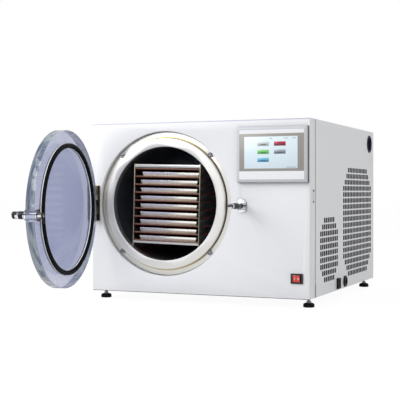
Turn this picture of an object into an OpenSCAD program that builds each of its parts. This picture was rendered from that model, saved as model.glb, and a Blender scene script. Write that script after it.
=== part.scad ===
// Bench-top vacuum freeze dryer: a sheet-steel cabinet with a round chamber, a clear swing door,
// a rack of nine trays and a touch panel. Millimetres. +X is to the right of someone facing the
// machine, +Y runs from the front panel to the back, +Z is up. The floor is at z = 0.

/* [Cabinet] */
// Width of the cabinet
cab_w = 650; // [600:1:780]
// Depth of the cabinet, front face to back face
cab_d = 694; // [640:1:840]
// Height of the cabinet without its feet
cab_h = 472; // [450:1:560]
// Thickness of the folded sheet
sheet = 2; // [1.5:0.1:2.5]
// Outer radius of the front panel's upright bends
bend_r = 4; // [3:0.5:8]
// How far the front panel's sides return along the cabinet
side_return = 43.5; // [30:0.5:60]
// Gap of the seam behind those returns
seam = 1.5; // [1:0.1:3]
// Height of the base tray's upstand
upstand = 20; // [12:1:30]

/* [Feet] */
// Height of the cabinet's underside above the floor
foot_gap = 26; // [22:1:45]
// Radius of a foot's pad
pad_r = 15; // [12:0.5:19]
// Height of a foot's pad
pad_h = 11; // [8:0.5:14]
// Radius of a foot's threaded stem
stem_r = 4; // [3:0.5:6]
// Distance of the feet from the cabinet's sides
foot_side = 19.5; // [19:0.5:40]
// Distance of the front feet from the front, and of the rear feet from the back
foot_end = 48; // [30:1:80]

/* [Chamber] */
// Height of the chamber's centre above the cabinet's underside
chamber_up = 247; // [240:1:270]
// Distance of the chamber's centre from the cabinet's left side
chamber_in = 227.5; // [225:0.5:260]
// Radius of the mouth
mouth_r = 158; // [150:0.5:159]
// Outer radius of the flange's raised face
face_r = 183; // [180:0.5:186]
// Outer radius of the flange's bolted ledge
ledge_r = 198; // [196:0.5:200]
// Radius of the hole in the front panel
port_r = 201; // [200.5:0.5:204]
// Depth of the ledge behind the flange's face
ledge_depth = 12; // [9:0.5:16]
// Thickness of the ledge
ledge_t = 8; // [6:0.5:12]
// Bevel of the flange's raised face
face_bevel = 3; // [1:0.5:5]
// Inside radius of the barrel
barrel_r = 160; // [159.5:0.5:162]
// Wall of the barrel
barrel_wall = 3; // [2:0.5:4]
// Inside depth of the barrel behind the flange
barrel_d = 490; // [470:1:520]

/* [Rack and trays] */
// Number of trays
trays = 9; // [4:1:9]
// Distance from one shelf to the next
shelf_pitch = 22.4; // [19:0.1:22.5]
// Outer width of the rack
rack_w = 203.5; // [180:0.5:206]
// Depth of the rack
rack_d = 430; // [350:1:450]
// Distance of the rack from the front face
rack_back = 15; // [10:1:25]
// Roll of the rack in the round barrel, in degrees
rack_roll = 1.5; // [0:0.1:3]
// Thickness of a shelf plate
shelf_t = 1.5; // [1:0.1:2]
// Thickness of the heater mat under each shelf
mat_t = 2; // [1:0.1:2.5]
// Height of a tray
tray_h = 11.5; // [9:0.5:13]
// Gap between a tray's rim and the rack's side
tray_gap = 11.8; // [6:0.1:16]
// How far the trays sit behind the rack's front
tray_back = 12; // [5:1:20]
// How much a tray narrows on each side towards its floor
tray_slope = 3; // [0:0.5:5]
// Thickness of a tray's sheet
tray_t = 1; // [0.8:0.1:1.5]

/* [Door] */
// Angle at which the door stands open
door_open = 81.5; // [60:0.5:105]
// Radius of the clear disc
door_r = 207.5; // [205:0.5:208]
// Thickness of the clear disc
door_t = 26; // [20:0.5:30]
// Distance of the hinge axis from the cabinet's left side
hinge_in = 16.5; // [16:0.5:17.5]
// Distance of the hinge axis in front of the front face
hinge_out = 17.7; // [17:0.1:18.5]
// Height of the hinge
hinge_h = 100; // [80:1:120]
// Radius of the hinge barrel
knuckle_r = 4.5; // [4.2:0.1:4.6]
// Radius of the hinge pin
pin_r = 2.8; // [2.4:0.1:3]
// Forward lean of the hinge axis in degrees; the open door hangs lower by it
hinge_tilt = 2.2; // [0:0.1:2.8]
// Sideways lean of the hinge axis in degrees, its top away from the cabinet
hinge_side = 1.6; // [0:0.1:1.8]
// Thickness of the hinge leaves
leaf_t = 2.5; // [2:0.1:3]
// Middle radius of the door gasket
gasket_r = 167; // [165:0.5:172]
// Width of the door gasket
gasket_w = 12; // [9:0.5:13]
// How far the gasket stands out of the disc
gasket_proud = 8; // [7:0.1:8.5]
// Depth of the gasket's groove
groove_depth = 4; // [3:0.5:6]

/* [Latch and grip] */
// Distance of the latch from the door's centre
latch_out = 191; // [190:0.5:192]
// Radius of the latch spindle
spindle_r = 5; // [4:0.1:6]
// Radius of the latch bush in the disc
bush_r = 13; // [9:0.5:13]
// Radius of the bush's flanges
flange_r = 15.5; // [14:0.5:15.5]
// Thickness of the bush's outer flange
flange_t = 6; // [4:0.5:8]
// Length of the knob in front of the flange
knob_l = 35; // [25:0.5:40]
// Radius of the knob
knob_r = 9.8; // [8:0.1:11]
// Length of the dog from the spindle's axis
dog_l = 20; // [18:0.5:22]
// Distance of the grip post from the chamber's centre
post_out = 232; // [228:1:240]
// Length of the grip post in front of the panel
post_l = 88; // [60:1:100]
// Width of the grip post's oblong base plate
base_w = 26; // [22:0.5:32]
// Height of that plate
base_h = 36; // [33:0.5:44]
// Radius of the grip post's black sleeve
sleeve_r = 7.8; // [7:0.1:10]

/* [Touch panel] */
// Width of the touch panel's frame
hmi_w = 196; // [180:1:196]
// Height of the touch panel's frame
hmi_h = 147; // [130:1:160]
// How far the frame stands in front of the panel
hmi_out = 15; // [8:0.5:18]
// Distance of the frame from the cabinet's right side
hmi_side = 5; // [4:1:12]
// Distance of the frame from the cabinet's top
hmi_top = 20.5; // [18:0.5:30]
// Depth of the housing behind the panel
hmi_depth = 32; // [25:1:45]

/* [Sockets and grilles] */
// Width of the rocker switch's bezel
switch_w = 33; // [30:0.5:36]
// Height of the rocker switch's bezel
switch_h = 26.5; // [24:0.5:30]
// Side of one square grille hole
hole = 13.5; // [11:0.5:14.5]
// Pitch of the grille holes
hole_pitch = 18; // [17:0.1:18.3]
// Bore radius of the vacuum port
vacuum_r = 20; // [16:0.5:21]
// Wall of the vacuum pipe
pipe_wall = 3; // [2:0.5:3]
// Radius of the round socket
socket_r = 16; // [13:0.5:17]

/* [Hidden] */

// Faces meet or stand this far apart where one piece drops into another.
fit_gap = 0.3;
// Radial clearance of turning fits.
run_gap = 0.05;
eps = 0.01;

z0 = foot_gap;
z1 = foot_gap + cab_h;
half_w = cab_w / 2;
inner_w = half_w - sheet;
body_y0 = sheet;
body_y1 = cab_d - sheet;
seam_y = side_return + seam;

cx = chamber_in - half_w;
cz = z0 + chamber_up;
ledge_y = ledge_depth;
ring_y = ledge_depth + ledge_t;
ring_t = 4;
ring_out = 214;
bolt_r = (face_r + ledge_r) / 2 - 0.5;
bolt_hole = 4.5;
bolt_shank = 4.2;
barrel_out = barrel_r + barrel_wall;
barrel_end = ring_y + barrel_d;
end_plate = 8;
coil_r = 4;
coil_ring = barrel_out + coil_r + fit_gap;
foam_in = coil_ring + coil_r + 2;
foam_out = 196;
bolt_end = ring_y + ring_t + 8;
foam_y0 = bolt_end + 1;
foam_y1 = barrel_end - 20;

rack_top = 108;
band_h = 8;
sill_h = 5.5;
side_t = 2;
shelves = trays + 1;
shelf_top = 98;
rack_in = rack_w / 2 - side_t;
rack_low = shelf_top - trays * shelf_pitch - shelf_t - mat_t - 0.4 - sill_h;
rack_foot = -sqrt(pow(barrel_r - fit_gap, 2) - pow(rack_w / 2, 2));
foot_relief = -sqrt(pow(mouth_r - fit_gap, 2) - pow(rack_w / 2, 2));
tray_half = rack_in - tray_gap;
tray_d = rack_d - 2 * tray_back;
tray_shift = 0.8;
top_tray_shift = 5;

hinge_x = hinge_in - half_w;
hinge_y = -hinge_out;
door_gap = 0.2;
door_in = -(gasket_proud + door_gap);
door_out = door_in - door_t;
door_z = cz;
hinge_z = door_z;
flat_half = hinge_h / 2 + 4;
flat_x = cx - sqrt(door_r * door_r - flat_half * flat_half);
strap_t = 3;
knuckles = 5;
knuckle_gap = 0.6;
knuckle_h = (hinge_h - (knuckles - 1) * knuckle_gap) / knuckles;

latch_x = cx + latch_out;
latch_z = door_z;
dog_y = 4;
dog_t = 4;
washer_t = 2.5;
flange_bevel = 2;
knob_y0 = door_out - flange_t - fit_gap;
post_x = cx + post_out;
post_z = cz - 5;
base_t = 4;

hmi_x = half_w - hmi_side - hmi_w / 2;
hmi_z = z1 - hmi_top - hmi_h / 2;
hmi_rim = 8;
hmi_slope = 3;
hmi_lip = 6;

switch_x = half_w - 37;
switch_z = z0 + 52.5;
rocker_w = switch_w - 11;
rocker_h = switch_h - 9;
rocker_tip = 8;

port_y = 24.5;
port_z = z0 + 268;
pin_hole = 0.8;
inlet_y = 264;
inlet_z = z0 + 19;
inlet_w = 27;
inlet_h = 30;
inlet_out = 6;
socket_y = 338;
socket_z = z0 + 19;
socket_out = 5;
vent_y = 636;
vent_z = z0 + 431.5;
pipe_r = vacuum_r + pipe_wall;
grommet_r = pipe_r + 4;

small_rows = [6, 8, 10, 10, 10, 10, 10, 10, 8, 6];
small_y = 175.3;
small_z = z0 + 121;
large_rows = [13, 15, 17, 19, 19, 19, 19, 19, 19, 19, 19, 19, 19, 19, 19, 17, 15, 13];
large_y = 490;
large_z = z0 + 190.5;

pot_x = 195;
pot_y = 252;
pot_r = 76;
pot_z = z0 + sheet;
spigot_out = 40;
spigot_top = 196;
fins = 24;
fin_pitch = 12.5;
fin_y = large_y - (fins - 1) * fin_pitch / 2;
fin_x0 = 252;
fin_x1 = 296;
fin_z0 = z0 + 46;
fin_z1 = z0 + 326;
tube_rows = 6;
tube_pitch = 44;
tube_r = 4.75;
tube_x = 274;
tube_z0 = (fin_z0 + fin_z1) / 2 - (tube_rows - 1) * tube_pitch / 2;
tube_end = 12;
fan_z = (fin_z0 + fin_z1) / 2;
fan_r = 112;
shroud_x0 = 205;
shroud_x1 = fin_x0 - fit_gap;

base_screws = [-282, -102, 102, 282];
screw_y = 16;
screw_head = 4;
screw_top = 2;
screw_hole = 2;
screw_shank = 1.9;
fold = 18;
fold_z0 = z0 + upstand + 14;
fold_z1 = z1 - upstand - 4;
nut_r = 9;
nut_h = 10;

// The whole machine's box, door and fittings included, is centred on the origin.
latch_u = latch_x - hinge_x;
rim_v = door_out - hinge_y;
rim_r = door_r - 1.5;
knob_v = knob_y0 - knob_l + 1.5 - hinge_y;
knob_tip = knob_r - 0.8;
flat_u = flat_x - hinge_x;
hinge_axis = [-cos(hinge_tilt) * sin(hinge_side), -sin(hinge_tilt), cos(hinge_tilt) * cos(hinge_side)];
// A direction on the shut door, as it points with the door open.
function opened(v) = v * cos(door_open) - cross(hinge_axis, v) * sin(door_open)
                     + hinge_axis * (hinge_axis * v) * (1 - cos(door_open));
door_right = opened([1, 0, 0]);
door_back = opened([0, 1, 0]);
door_up = opened([0, 0, 1]);
side_n = norm([door_right[0], door_up[0]]);
side_u = cx - hinge_x - rim_r * door_right[0] / side_n;
on_flat = side_u < flat_u;
rim_u = on_flat ? flat_u : side_u;
rim_w = on_flat ? -sign(door_up[0]) * sqrt(rim_r * rim_r - pow(cx - flat_x, 2)) : -rim_r * door_up[0] / side_n;
// How far a round piece of radius r on the open door reaches, back along direction i from the hinge.
// With the door shut the piece lies u to the right of the axis and v behind it.
function least(i, u, v, r) = u * door_right[i] + v * door_back[i] - r * norm([door_right[i], door_up[i]]);
front_reach = hinge_y + min(least(1, cx - hinge_x, rim_v + 1.5, door_r),
                            least(1, latch_u, rim_v - flange_t + flange_bevel, flange_r),
                            least(1, latch_u, knob_v, knob_tip));
left_reach = min(-half_w,
    hinge_x + rim_u * door_right[0] + rim_v * door_back[0] + rim_w * door_up[0],
    hinge_x + least(0, latch_u, knob_v, knob_tip));
right_reach = half_w + inlet_out;
mid_x = (left_reach + right_reach) / 2;
mid_y = (front_reach + cab_d + screw_top) / 2;

steel_white = "whitesmoke";
steel_bright = "silver";
dark = [0.12, 0.12, 0.13];

// ---- placing helpers ----

module place() translate([-mid_x, -mid_y, 0]) children();

// A cylinder lying along +Y from y = a to y = b.
module y_cyl(r, a, b, at = [0, 0]) {
    translate([at[0], a, at[1]]) rotate([-90, 0, 0]) cylinder(h = b - a, r = r, $fn = 64);
}

// A cylinder lying along +X from x = a to x = b; at holds y and z.
module x_cyl(r, a, b, at = [0, 0]) {
    translate([a, at[0], at[1]]) rotate([0, 90, 0]) cylinder(h = b - a, r = r, $fn = 64);
}

// A box from its two opposite corners.
module slab(low, high) translate(low) cube(high - low);

// A turned piece about a line along +Y; the profile holds [radius, y] points.
module turned(points, at) {
    translate([at[0], 0, at[1]]) rotate([-90, 0, 0]) rotate_extrude($fn = 128) polygon(points);
}

// Turns its children about the leaning hinge axis.
module about_hinge(angle) {
    translate([hinge_x, hinge_y, hinge_z]) rotate([hinge_tilt, -hinge_side, 0]) rotate([0, 0, angle])
        rotate([-hinge_tilt, 0, 0]) rotate([0, hinge_side, 0])
            translate([-hinge_x, -hinge_y, -hinge_z]) children();
}

// Carries what hangs on the door from its closed place to its open one.
module on_door() about_hinge(-door_open) children();

// Draws its children along the leaning hinge axis, measured from the middle of the hinge.
module on_pin() translate([hinge_x, hinge_y, hinge_z]) rotate([hinge_tilt, -hinge_side, 0]) children();

// The rack's own frame: origin on the barrel's axis, rolled with the rack.
module in_rack() translate([cx, rack_back, cz]) rotate([0, rack_roll, 0]) children();

// ---- cabinet ----

module soft_front(w, d, r) {
    translate([-w / 2, 0]) union() {
        translate([r, 0]) square([w - 2 * r, d]);
        translate([0, r]) square([w, d - r]);
        translate([r, r]) circle(r, $fn = 32);
        translate([w - r, r]) circle(r, $fn = 32);
    }
}

module front_section() {
    difference() {
        soft_front(cab_w, side_return, bend_r);
        translate([0, sheet]) soft_front(cab_w - 2 * sheet, side_return, bend_r - sheet);
    }
}

module front_panel() place() color(steel_white) difference() {
    union() {
        translate([0, 0, z0]) linear_extrude(cab_h) front_section();
        for (s = [-1, 1]) edge_fold(s, side_return - sheet);
        slab([bend_r - inner_w, sheet / 2, z0 + sheet], [inner_w - bend_r, 2 * screw_y, z0 + 2 * sheet]);
        y_cyl(port_r + sheet, sheet / 2, ring_y, [cx, cz]);
    }
    y_cyl(port_r, -1, ring_y + 1, [cx, cz]);
    // Slot in the collar that the latch dog turns into.
    slab([cx + port_r - 4, sheet, latch_z - dog_l - 3], [cx + port_r + 4, ring_y - 6, latch_z + 10]);
    slab([hmi_x - hmi_w / 2 + hmi_lip, -1, hmi_z - hmi_h / 2 + hmi_lip],
         [hmi_x + hmi_w / 2 - hmi_lip, sheet + 1, hmi_z + hmi_h / 2 - hmi_lip]);
    slab([switch_x - switch_w / 2 + 2, -1, switch_z - switch_h / 2 + 2],
         [switch_x + switch_w / 2 - 2, sheet + 1, switch_z + switch_h / 2 - 2]);
    slab([inner_w - 1, port_y - 4.2, port_z - 9], [half_w + 1, port_y + 4.2, port_z + 9]);
    for (s = [-1, 1]) x_cyl(1.6, inner_w - 1, half_w + 1, [port_y, port_z + s * 14.4]);
    y_cyl(4, -1, sheet + 1, [post_x, post_z]);
    for (p = leaf_screw_places()) y_cyl(screw_hole, -1, sheet + 1, p);
    for (x = base_screws) translate([x, screw_y, z0]) cylinder(h = 2 * sheet + 2, r = screw_hole, $fn = 24);
}

// The base: a plate with upstands at both sides and the back, open at the corners and the front.
module base_tray() place() color("gainsboro") difference() {
    union() {
        difference() {
            slab([-inner_w, body_y0, z0], [inner_w, body_y1, z0 + upstand]);
            slab([sheet - inner_w, body_y0 - 1, z0 + sheet],
                 [inner_w - sheet, body_y1 - sheet, z0 + upstand + 1]);
        }
        for (p = foot_places()) translate([p[0], p[1], z0]) cylinder(h = nut_h, r = nut_r, $fn = 6);
    }
    corner_cuts(z0 - 1, z0 + upstand + 1);
    for (p = foot_places()) translate([p[0], p[1], z0 - 1])
        cylinder(h = nut_h + 2, r = stem_r + fit_gap, $fn = 32);
    slab([inner_w - 3, inlet_y - inlet_w / 2, z0 + sheet], [inner_w + 1, inlet_y + inlet_w / 2, z1]);
    slab([inner_w - 3, socket_y - socket_r, z0 + sheet], [inner_w + 1, socket_y + socket_r, z1]);
    for (x = base_screws) translate([x, screw_y, z0 - 1])
        cylinder(h = 2 * sheet + 2, r = screw_hole, $fn = 24);
    for (p = rear_screw_places()) y_cyl(screw_hole, body_y1 - 3, body_y1 + 1, p);
}

// Clears the front panel's rounded inner corners.
module corner_cuts(low, high) {
    for (s = [-1, 1])
        slab([s > 0 ? inner_w - bend_r : -inner_w - 1, body_y0 - 1, low],
             [s > 0 ? inner_w + 1 : bend_r - inner_w, body_y0 + bend_r, high]);
}

// The inward fold along a side's front edge.
module edge_fold(s, y) {
    slab([s > 0 ? inner_w - fold : -inner_w, y, fold_z0],
         [s > 0 ? inner_w : fold - inner_w, y + sheet, fold_z1]);
}

module left_panel() place() color(steel_white) {
    slab([-half_w, seam_y, z0], [-inner_w, body_y1, z1]);
    edge_fold(-1, seam_y);
}

// Rows of square holes, each row centred, the first row at the top.
module grille_holes(rows, y, z) {
    for (k = [0:len(rows) - 1], j = [0:rows[k] - 1])
        translate([y + (j - (rows[k] - 1) / 2) * hole_pitch - hole / 2,
                   z + ((len(rows) - 1) / 2 - k) * hole_pitch - hole / 2]) square(hole);
}

module right_sheet() {
    difference() {
        translate([seam_y, z0]) square([body_y1 - seam_y, cab_h]);
        grille_holes(small_rows, small_y, small_z);
        grille_holes(large_rows, large_y, large_z);
        translate([inlet_y - inlet_w / 2 + 2, inlet_z - inlet_h / 2 + 2])
            square([inlet_w - 4, inlet_h - 4]);
        // Relief where the front fold ends above the base.
        translate([seam_y - 1, z0 - 1]) square([2.5, 36]);
    }
}

module right_panel() place() color(steel_white) difference() {
    union() {
        translate([inner_w, 0, 0]) rotate([90, 0, 90]) linear_extrude(sheet) right_sheet();
        edge_fold(1, seam_y);
    }
    x_cyl(socket_r - 3, inner_w - 1, half_w + 1, [socket_y, socket_z]);
    x_cyl(grommet_r - 2, inner_w - 1, half_w + 1, [vent_y, vent_z]);
}

module top_cover() place() color(steel_white) difference() {
    slab([-inner_w, body_y0, z1 - upstand], [inner_w, body_y1, z1]);
    slab([sheet - inner_w, body_y0 + sheet, z1 - upstand - 1],
         [inner_w - sheet, body_y1 - sheet, z1 - sheet]);
    corner_cuts(z1 - upstand - 1, z1 + 1);
    for (p = rear_screw_places()) y_cyl(screw_hole, body_y1 - 3, body_y1 + 1, p);
    slab([inner_w - 3, vent_y - grommet_r - 4, z1 - upstand - 1],
         [inner_w + 1, vent_y + grommet_r + 4, z1 - sheet]);
}

module rear_panel() place() color(steel_white) difference() {
    slab([-half_w, body_y1, z0], [half_w, cab_d, z1]);
    for (p = rear_screw_places()) y_cyl(screw_hole, body_y1 - 1, cab_d + 1, p);
}

function rear_screw_places() = [for (i = [-1, 0, 1], j = [-1, 1])
    [i * (half_w - 24), (z0 + z1) / 2 + j * (cab_h / 2 - 9)]];
function leaf_screw_places() = [for (j = [-1, 1]) [hinge_x - 8, hinge_z + j * 38]];

module panel_screws() place() color("lightgray") {
    for (p = rear_screw_places()) {
        y_cyl(screw_shank, body_y1 - 6, cab_d + eps, p);
        y_cyl(screw_head, cab_d, cab_d + screw_top, p);
    }
    for (p = leaf_screw_places()) {
        y_cyl(screw_shank, -leaf_t - eps, 8, p);
        y_cyl(screw_head, -leaf_t - screw_top, -leaf_t, p);
    }
    for (x = base_screws) translate([x, screw_y, 0]) {
        translate([0, 0, z0 - screw_top]) cylinder(h = screw_top, r = screw_head, $fn = 32);
        translate([0, 0, z0 - eps]) cylinder(h = 8, r = screw_shank, $fn = 32);
    }
}

// ---- feet ----

function foot_places() = [
    [foot_side - half_w, foot_end], [half_w - foot_side, foot_end],
    [foot_side - half_w, cab_d - foot_end], [half_w - foot_side, cab_d - foot_end]];

module foot_stem(k) place() color("silver") translate(concat(foot_places()[k - 1], 0)) {
    translate([0, 0, pad_h - 5]) cylinder(h = z0 + 25 - pad_h, r = stem_r, $fn = 48);
    translate([0, 0, pad_h]) cylinder(h = 5, r = stem_r + 3, $fn = 6);
}

module foot_pad(k) place() color(dark) translate(concat(foot_places()[k - 1], 0)) rotate_extrude($fn = 64)
    polygon([[0, 0], [pad_r - 1, 0], [pad_r, 1], [pad_r, pad_h - 3], [pad_r - 3, pad_h],
             [stem_r, pad_h], [stem_r, pad_h - 5], [0, pad_h - 5]]);

// ---- chamber ----

module mount_ring() place() color("gainsboro") difference() {
    y_cyl(ring_out, ring_y, ring_y + ring_t, [cx, cz]);
    y_cyl(barrel_out + 1, ring_y - 1, ring_y + ring_t + 1, [cx, cz]);
    bolt_cylinders(bolt_hole, ring_y - 1, ring_y + ring_t + 1);
}

module bolt_cylinders(r, a, b) {
    for (q = [45:90:315]) y_cyl(r, a, b, [cx + bolt_r * cos(q), cz + bolt_r * sin(q)]);
}

module chamber_flange() place() color(steel_bright) difference() {
    turned([[mouth_r, 0], [face_r - face_bevel, 0], [face_r, face_bevel], [face_r, ledge_y],
            [ledge_r, ledge_y], [ledge_r, ring_y], [mouth_r, ring_y]], [cx, cz]);
    bolt_cylinders(bolt_hole, ledge_y - 1, ring_y + 1);
}

module flange_bolts() place() color("gray") difference() {
    union() {
        bolt_cylinders(6, ledge_y - 6, ledge_y);
        bolt_cylinders(bolt_shank, ledge_y - eps, bolt_end);
    }
    for (q = [45:90:315])
        translate([cx + bolt_r * cos(q), ledge_y - 7, cz + bolt_r * sin(q)])
            rotate([-90, 0, 0]) cylinder(h = 4, r = 2.9, $fn = 6);
}

module chamber_barrel() place() color(dark) difference() {
    y_cyl(barrel_out, ring_y, barrel_end + end_plate, [cx, cz]);
    y_cyl(barrel_r, ring_y - 1, barrel_end, [cx, cz]);
    y_cyl(vacuum_r, barrel_end - 1, barrel_end + end_plate + 1, [cx, cz + 100]);
}

module barrel_insulation() place() color("dimgray") difference() {
    y_cyl(foam_out, foam_y0, foam_y1, [cx, cz]);
    y_cyl(foam_in, foam_y0 - 1, foam_y1 + 1, [cx, cz]);
}

// Two saddles under the insulated barrel.
module barrel_cradle() place() color("gainsboro") difference() {
    union() {
        for (y = [150, foam_y1 - 60]) slab([cx - 130, y, z0 + sheet], [cx + 130, y + 3, cz - 110]);
        slab([cx - 130, 150, z0 + sheet], [cx + 130, foam_y1 - 57, z0 + 2 * sheet]);
    }
    y_cyl(foam_out + fit_gap, 100, foam_y1 + 10, [cx, cz]);
}

// ---- rack and trays ----

module rack_frame() place() color(steel_bright) in_rack() {
    difference() {
        for (s = [-1, 1])
            slab([s > 0 ? rack_in : -rack_w / 2, 0, rack_foot],
                 [s > 0 ? rack_w / 2 : -rack_in, rack_d, rack_top + 3]);
        // Relief over the flange's narrower bore.
        slab([-rack_w / 2 - 1, -1, rack_foot - 1], [rack_w / 2 + 1, ring_y - rack_back + 2, foot_relief]);
    }
    difference() {
        slab([-rack_in, 0, rack_top - band_h], [rack_in, rack_d, rack_top]);
        slab([-rack_in - 1, sheet, rack_top - band_h - 1],
             [rack_in + 1, rack_d - sheet, rack_top - shelf_t]);
    }
    for (y = [0, rack_d - sheet])
        slab([-rack_in, y, rack_low], [rack_in, y + sheet, rack_low + sill_h]);
}

function shelf_z(k) = shelf_top - k * shelf_pitch;

module rack_shelves() place() color(steel_bright) in_rack()
    for (k = [0:shelves - 1])
        slab([-rack_in, 0, shelf_z(k) - shelf_t], [rack_in, rack_d, shelf_z(k)]);

module shelf_heaters() place() color([0.45, 0.2, 0.15]) in_rack()
    for (k = [0:shelves - 1])
        slab([3 - rack_in, 0.5, shelf_z(k) - shelf_t - mat_t],
             [rack_in - 3, rack_d - 10, shelf_z(k) - shelf_t]);

// A flat-bottomed pan whose left and right sides lean outwards.
module tray(k) place() color(steel_bright) in_rack()
    translate([k == 1 ? top_tray_shift : tray_shift, tray_back, shelf_z(k)]) difference() {
    pan_prism(tray_half, tray_slope, tray_h, 0, tray_d);
    translate([0, 0, tray_t]) pan_prism(tray_half - tray_t, tray_slope, tray_h, tray_t, tray_d - tray_t);
}

module pan_prism(half, slope, h, a, b) {
    translate([0, b, 0]) rotate([90, 0, 0]) linear_extrude(b - a)
        polygon([[slope - half, 0], [half - slope, 0], [half, h], [-half, h]]);
}

// ---- touch panel ----

module panel_bezel() place() color("lightsteelblue") difference() {
    union() {
        slab([hmi_x - hmi_w / 2, hmi_slope - hmi_out, hmi_z - hmi_h / 2],
             [hmi_x + hmi_w / 2, 0, hmi_z + hmi_h / 2]);
        bevel_block();
    }
    slab([hmi_x - hmi_w / 2 + hmi_rim, -hmi_out - 1, hmi_z - hmi_h / 2 + hmi_rim],
         [hmi_x + hmi_w / 2 - hmi_rim, 1, hmi_z + hmi_h / 2 - hmi_rim]);
}

// The sloping rim: two crossing wedges keep every face flat.
module bevel_block() {
    intersection() {
        translate([hmi_x, 0, hmi_z - hmi_h / 2]) linear_extrude(hmi_h) bevel_outline(hmi_w / 2);
        translate([hmi_x - hmi_w / 2, 0, hmi_z]) rotate([0, 90, 0]) linear_extrude(hmi_w)
            bevel_outline(hmi_h / 2);
    }
}

module bevel_outline(h) {
    polygon([[-h, hmi_slope - hmi_out], [hmi_rim - h, -hmi_out],
             [h - hmi_rim, -hmi_out], [h, hmi_slope - hmi_out]]);
}

module panel_screen() place() color("lightcyan")
    slab([hmi_x - hmi_w / 2 + hmi_rim, 0.6 - hmi_out, hmi_z - hmi_h / 2 + hmi_rim],
         [hmi_x + hmi_w / 2 - hmi_rim, 5 - hmi_out, hmi_z + hmi_h / 2 - hmi_rim]);

module panel_housing() place() color(dark)
    slab([hmi_x - hmi_w / 2 + hmi_rim, 5 - hmi_out, hmi_z - hmi_h / 2 + hmi_rim],
         [hmi_x + hmi_w / 2 - hmi_rim, hmi_depth, hmi_z + hmi_h / 2 - hmi_rim]);

// ---- switch ----

module switch_bezel() place() color(dark) difference() {
    union() {
        slab([switch_x - switch_w / 2, -3, switch_z - switch_h / 2],
             [switch_x + switch_w / 2, 0, switch_z + switch_h / 2]);
        slab([switch_x - switch_w / 2 + 2.3, 0, switch_z - switch_h / 2 + 2.3],
             [switch_x + switch_w / 2 - 2.3, 22, switch_z + switch_h / 2 - 2.3]);
    }
    slab([switch_x - rocker_w / 2 - fit_gap, -4, switch_z - rocker_h / 2 - fit_gap],
         [switch_x + rocker_w / 2 + fit_gap, 12, switch_z + rocker_h / 2 + fit_gap]);
    translate([switch_x, 4, switch_z - rocker_h / 2 - 2])
        cylinder(h = rocker_h + 4, r = 1.5 + run_gap, $fn = 32);
}

// The rocker tips about an upright pin; its left half is pressed in.
module switch_rocker() place() color("red") translate([switch_x, 4, switch_z]) rotate([0, 0, -rocker_tip]) {
    intersection() {
        translate([0, 0, -rocker_h / 2]) linear_extrude(rocker_h)
            polygon([[-rocker_w / 2 + 1, -7.5], [0, -5.5], [rocker_w / 2 - 1, -7.5], [3, 3], [-3, 3]]);
        slab([-rocker_w / 2, -20, -rocker_h / 2], [rocker_w / 2, 20, rocker_h / 2]);
    }
    translate([0, 0, -rocker_h / 2 - 1.7]) cylinder(h = rocker_h + 3.4, r = 1.5, $fn = 32);
}

// ---- fittings on the right side ----

module data_port() place() color("lightgray") difference() {
    union() {
        slab([half_w, port_y - 6, port_z - 18.5], [half_w + 0.8, port_y + 6, port_z + 18.5]);
        slab([half_w - 14, port_y - 4, port_z - 8.7], [half_w + eps, port_y + 4, port_z + 8.7]);
        for (s = [-1, 1]) {
            x_cyl(1.5, half_w - 6, half_w + 1, [port_y, port_z + s * 14.4]);
            x_cyl(2.8, half_w + 0.8, half_w + 2, [port_y, port_z + s * 14.4]);
        }
    }
    for (i = [-1, 1], j = [-1, 0, 1])
        x_cyl(pin_hole, half_w - 5, half_w + 3, [port_y + i * 2, port_z + j * 4.5]);
}

module power_inlet() place() color(dark) difference() {
    union() {
        slab([half_w, inlet_y - inlet_w / 2, inlet_z - inlet_h / 2],
             [half_w + inlet_out, inlet_y + inlet_w / 2, inlet_z + inlet_h / 2]);
        slab([half_w - 24, inlet_y - inlet_w / 2 + 2.3, inlet_z - inlet_h / 2 + 2.3],
             [half_w + eps, inlet_y + inlet_w / 2 - 2.3, inlet_z + inlet_h / 2 - 2.3]);
    }
    slab([half_w - 16, inlet_y - 8, inlet_z - 11.5], [half_w + inlet_out + 1, inlet_y + 8, inlet_z + 11.5]);
}

module round_socket() place() color(dark) difference() {
    union() {
        x_cyl(socket_r, half_w, half_w + socket_out, [socket_y, socket_z]);
        x_cyl(socket_r - 3.3, half_w - 20, half_w + eps, [socket_y, socket_z]);
    }
    x_cyl(socket_r - 6, half_w - 14, half_w + socket_out + 1, [socket_y, socket_z]);
}

module vacuum_pipe() place() color("slategray") difference() {
    union() {
        y_cyl(pipe_r, barrel_end + end_plate, 605, [cx, cz + 100]);
        slab([cx - 34, 604, cz + 70], [cx + 34, vent_y + 32, vent_z + 30]);
        x_cyl(pipe_r, cx + 33, half_w, [vent_y, vent_z]);
    }
    y_cyl(vacuum_r, barrel_end, vent_y, [cx, cz + 100]);
    slab([cx - 26, 612, cz + 78], [cx + 26, vent_y + 24, vent_z + 23]);
    x_cyl(vacuum_r, cx, half_w + 1, [vent_y, vent_z]);
}

module port_grommet() place() color(dark) difference() {
    union() {
        x_cyl(grommet_r, half_w, half_w + 2.5, [vent_y, vent_z]);
        x_cyl(grommet_r - 2, half_w - sheet - 1, half_w + eps, [vent_y, vent_z]);
        x_cyl(grommet_r, half_w - sheet - 3, half_w - sheet, [vent_y, vent_z]);
    }
    x_cyl(pipe_r, half_w - 20, half_w + 3, [vent_y, vent_z]);
}

// ---- refrigeration ----

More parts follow.
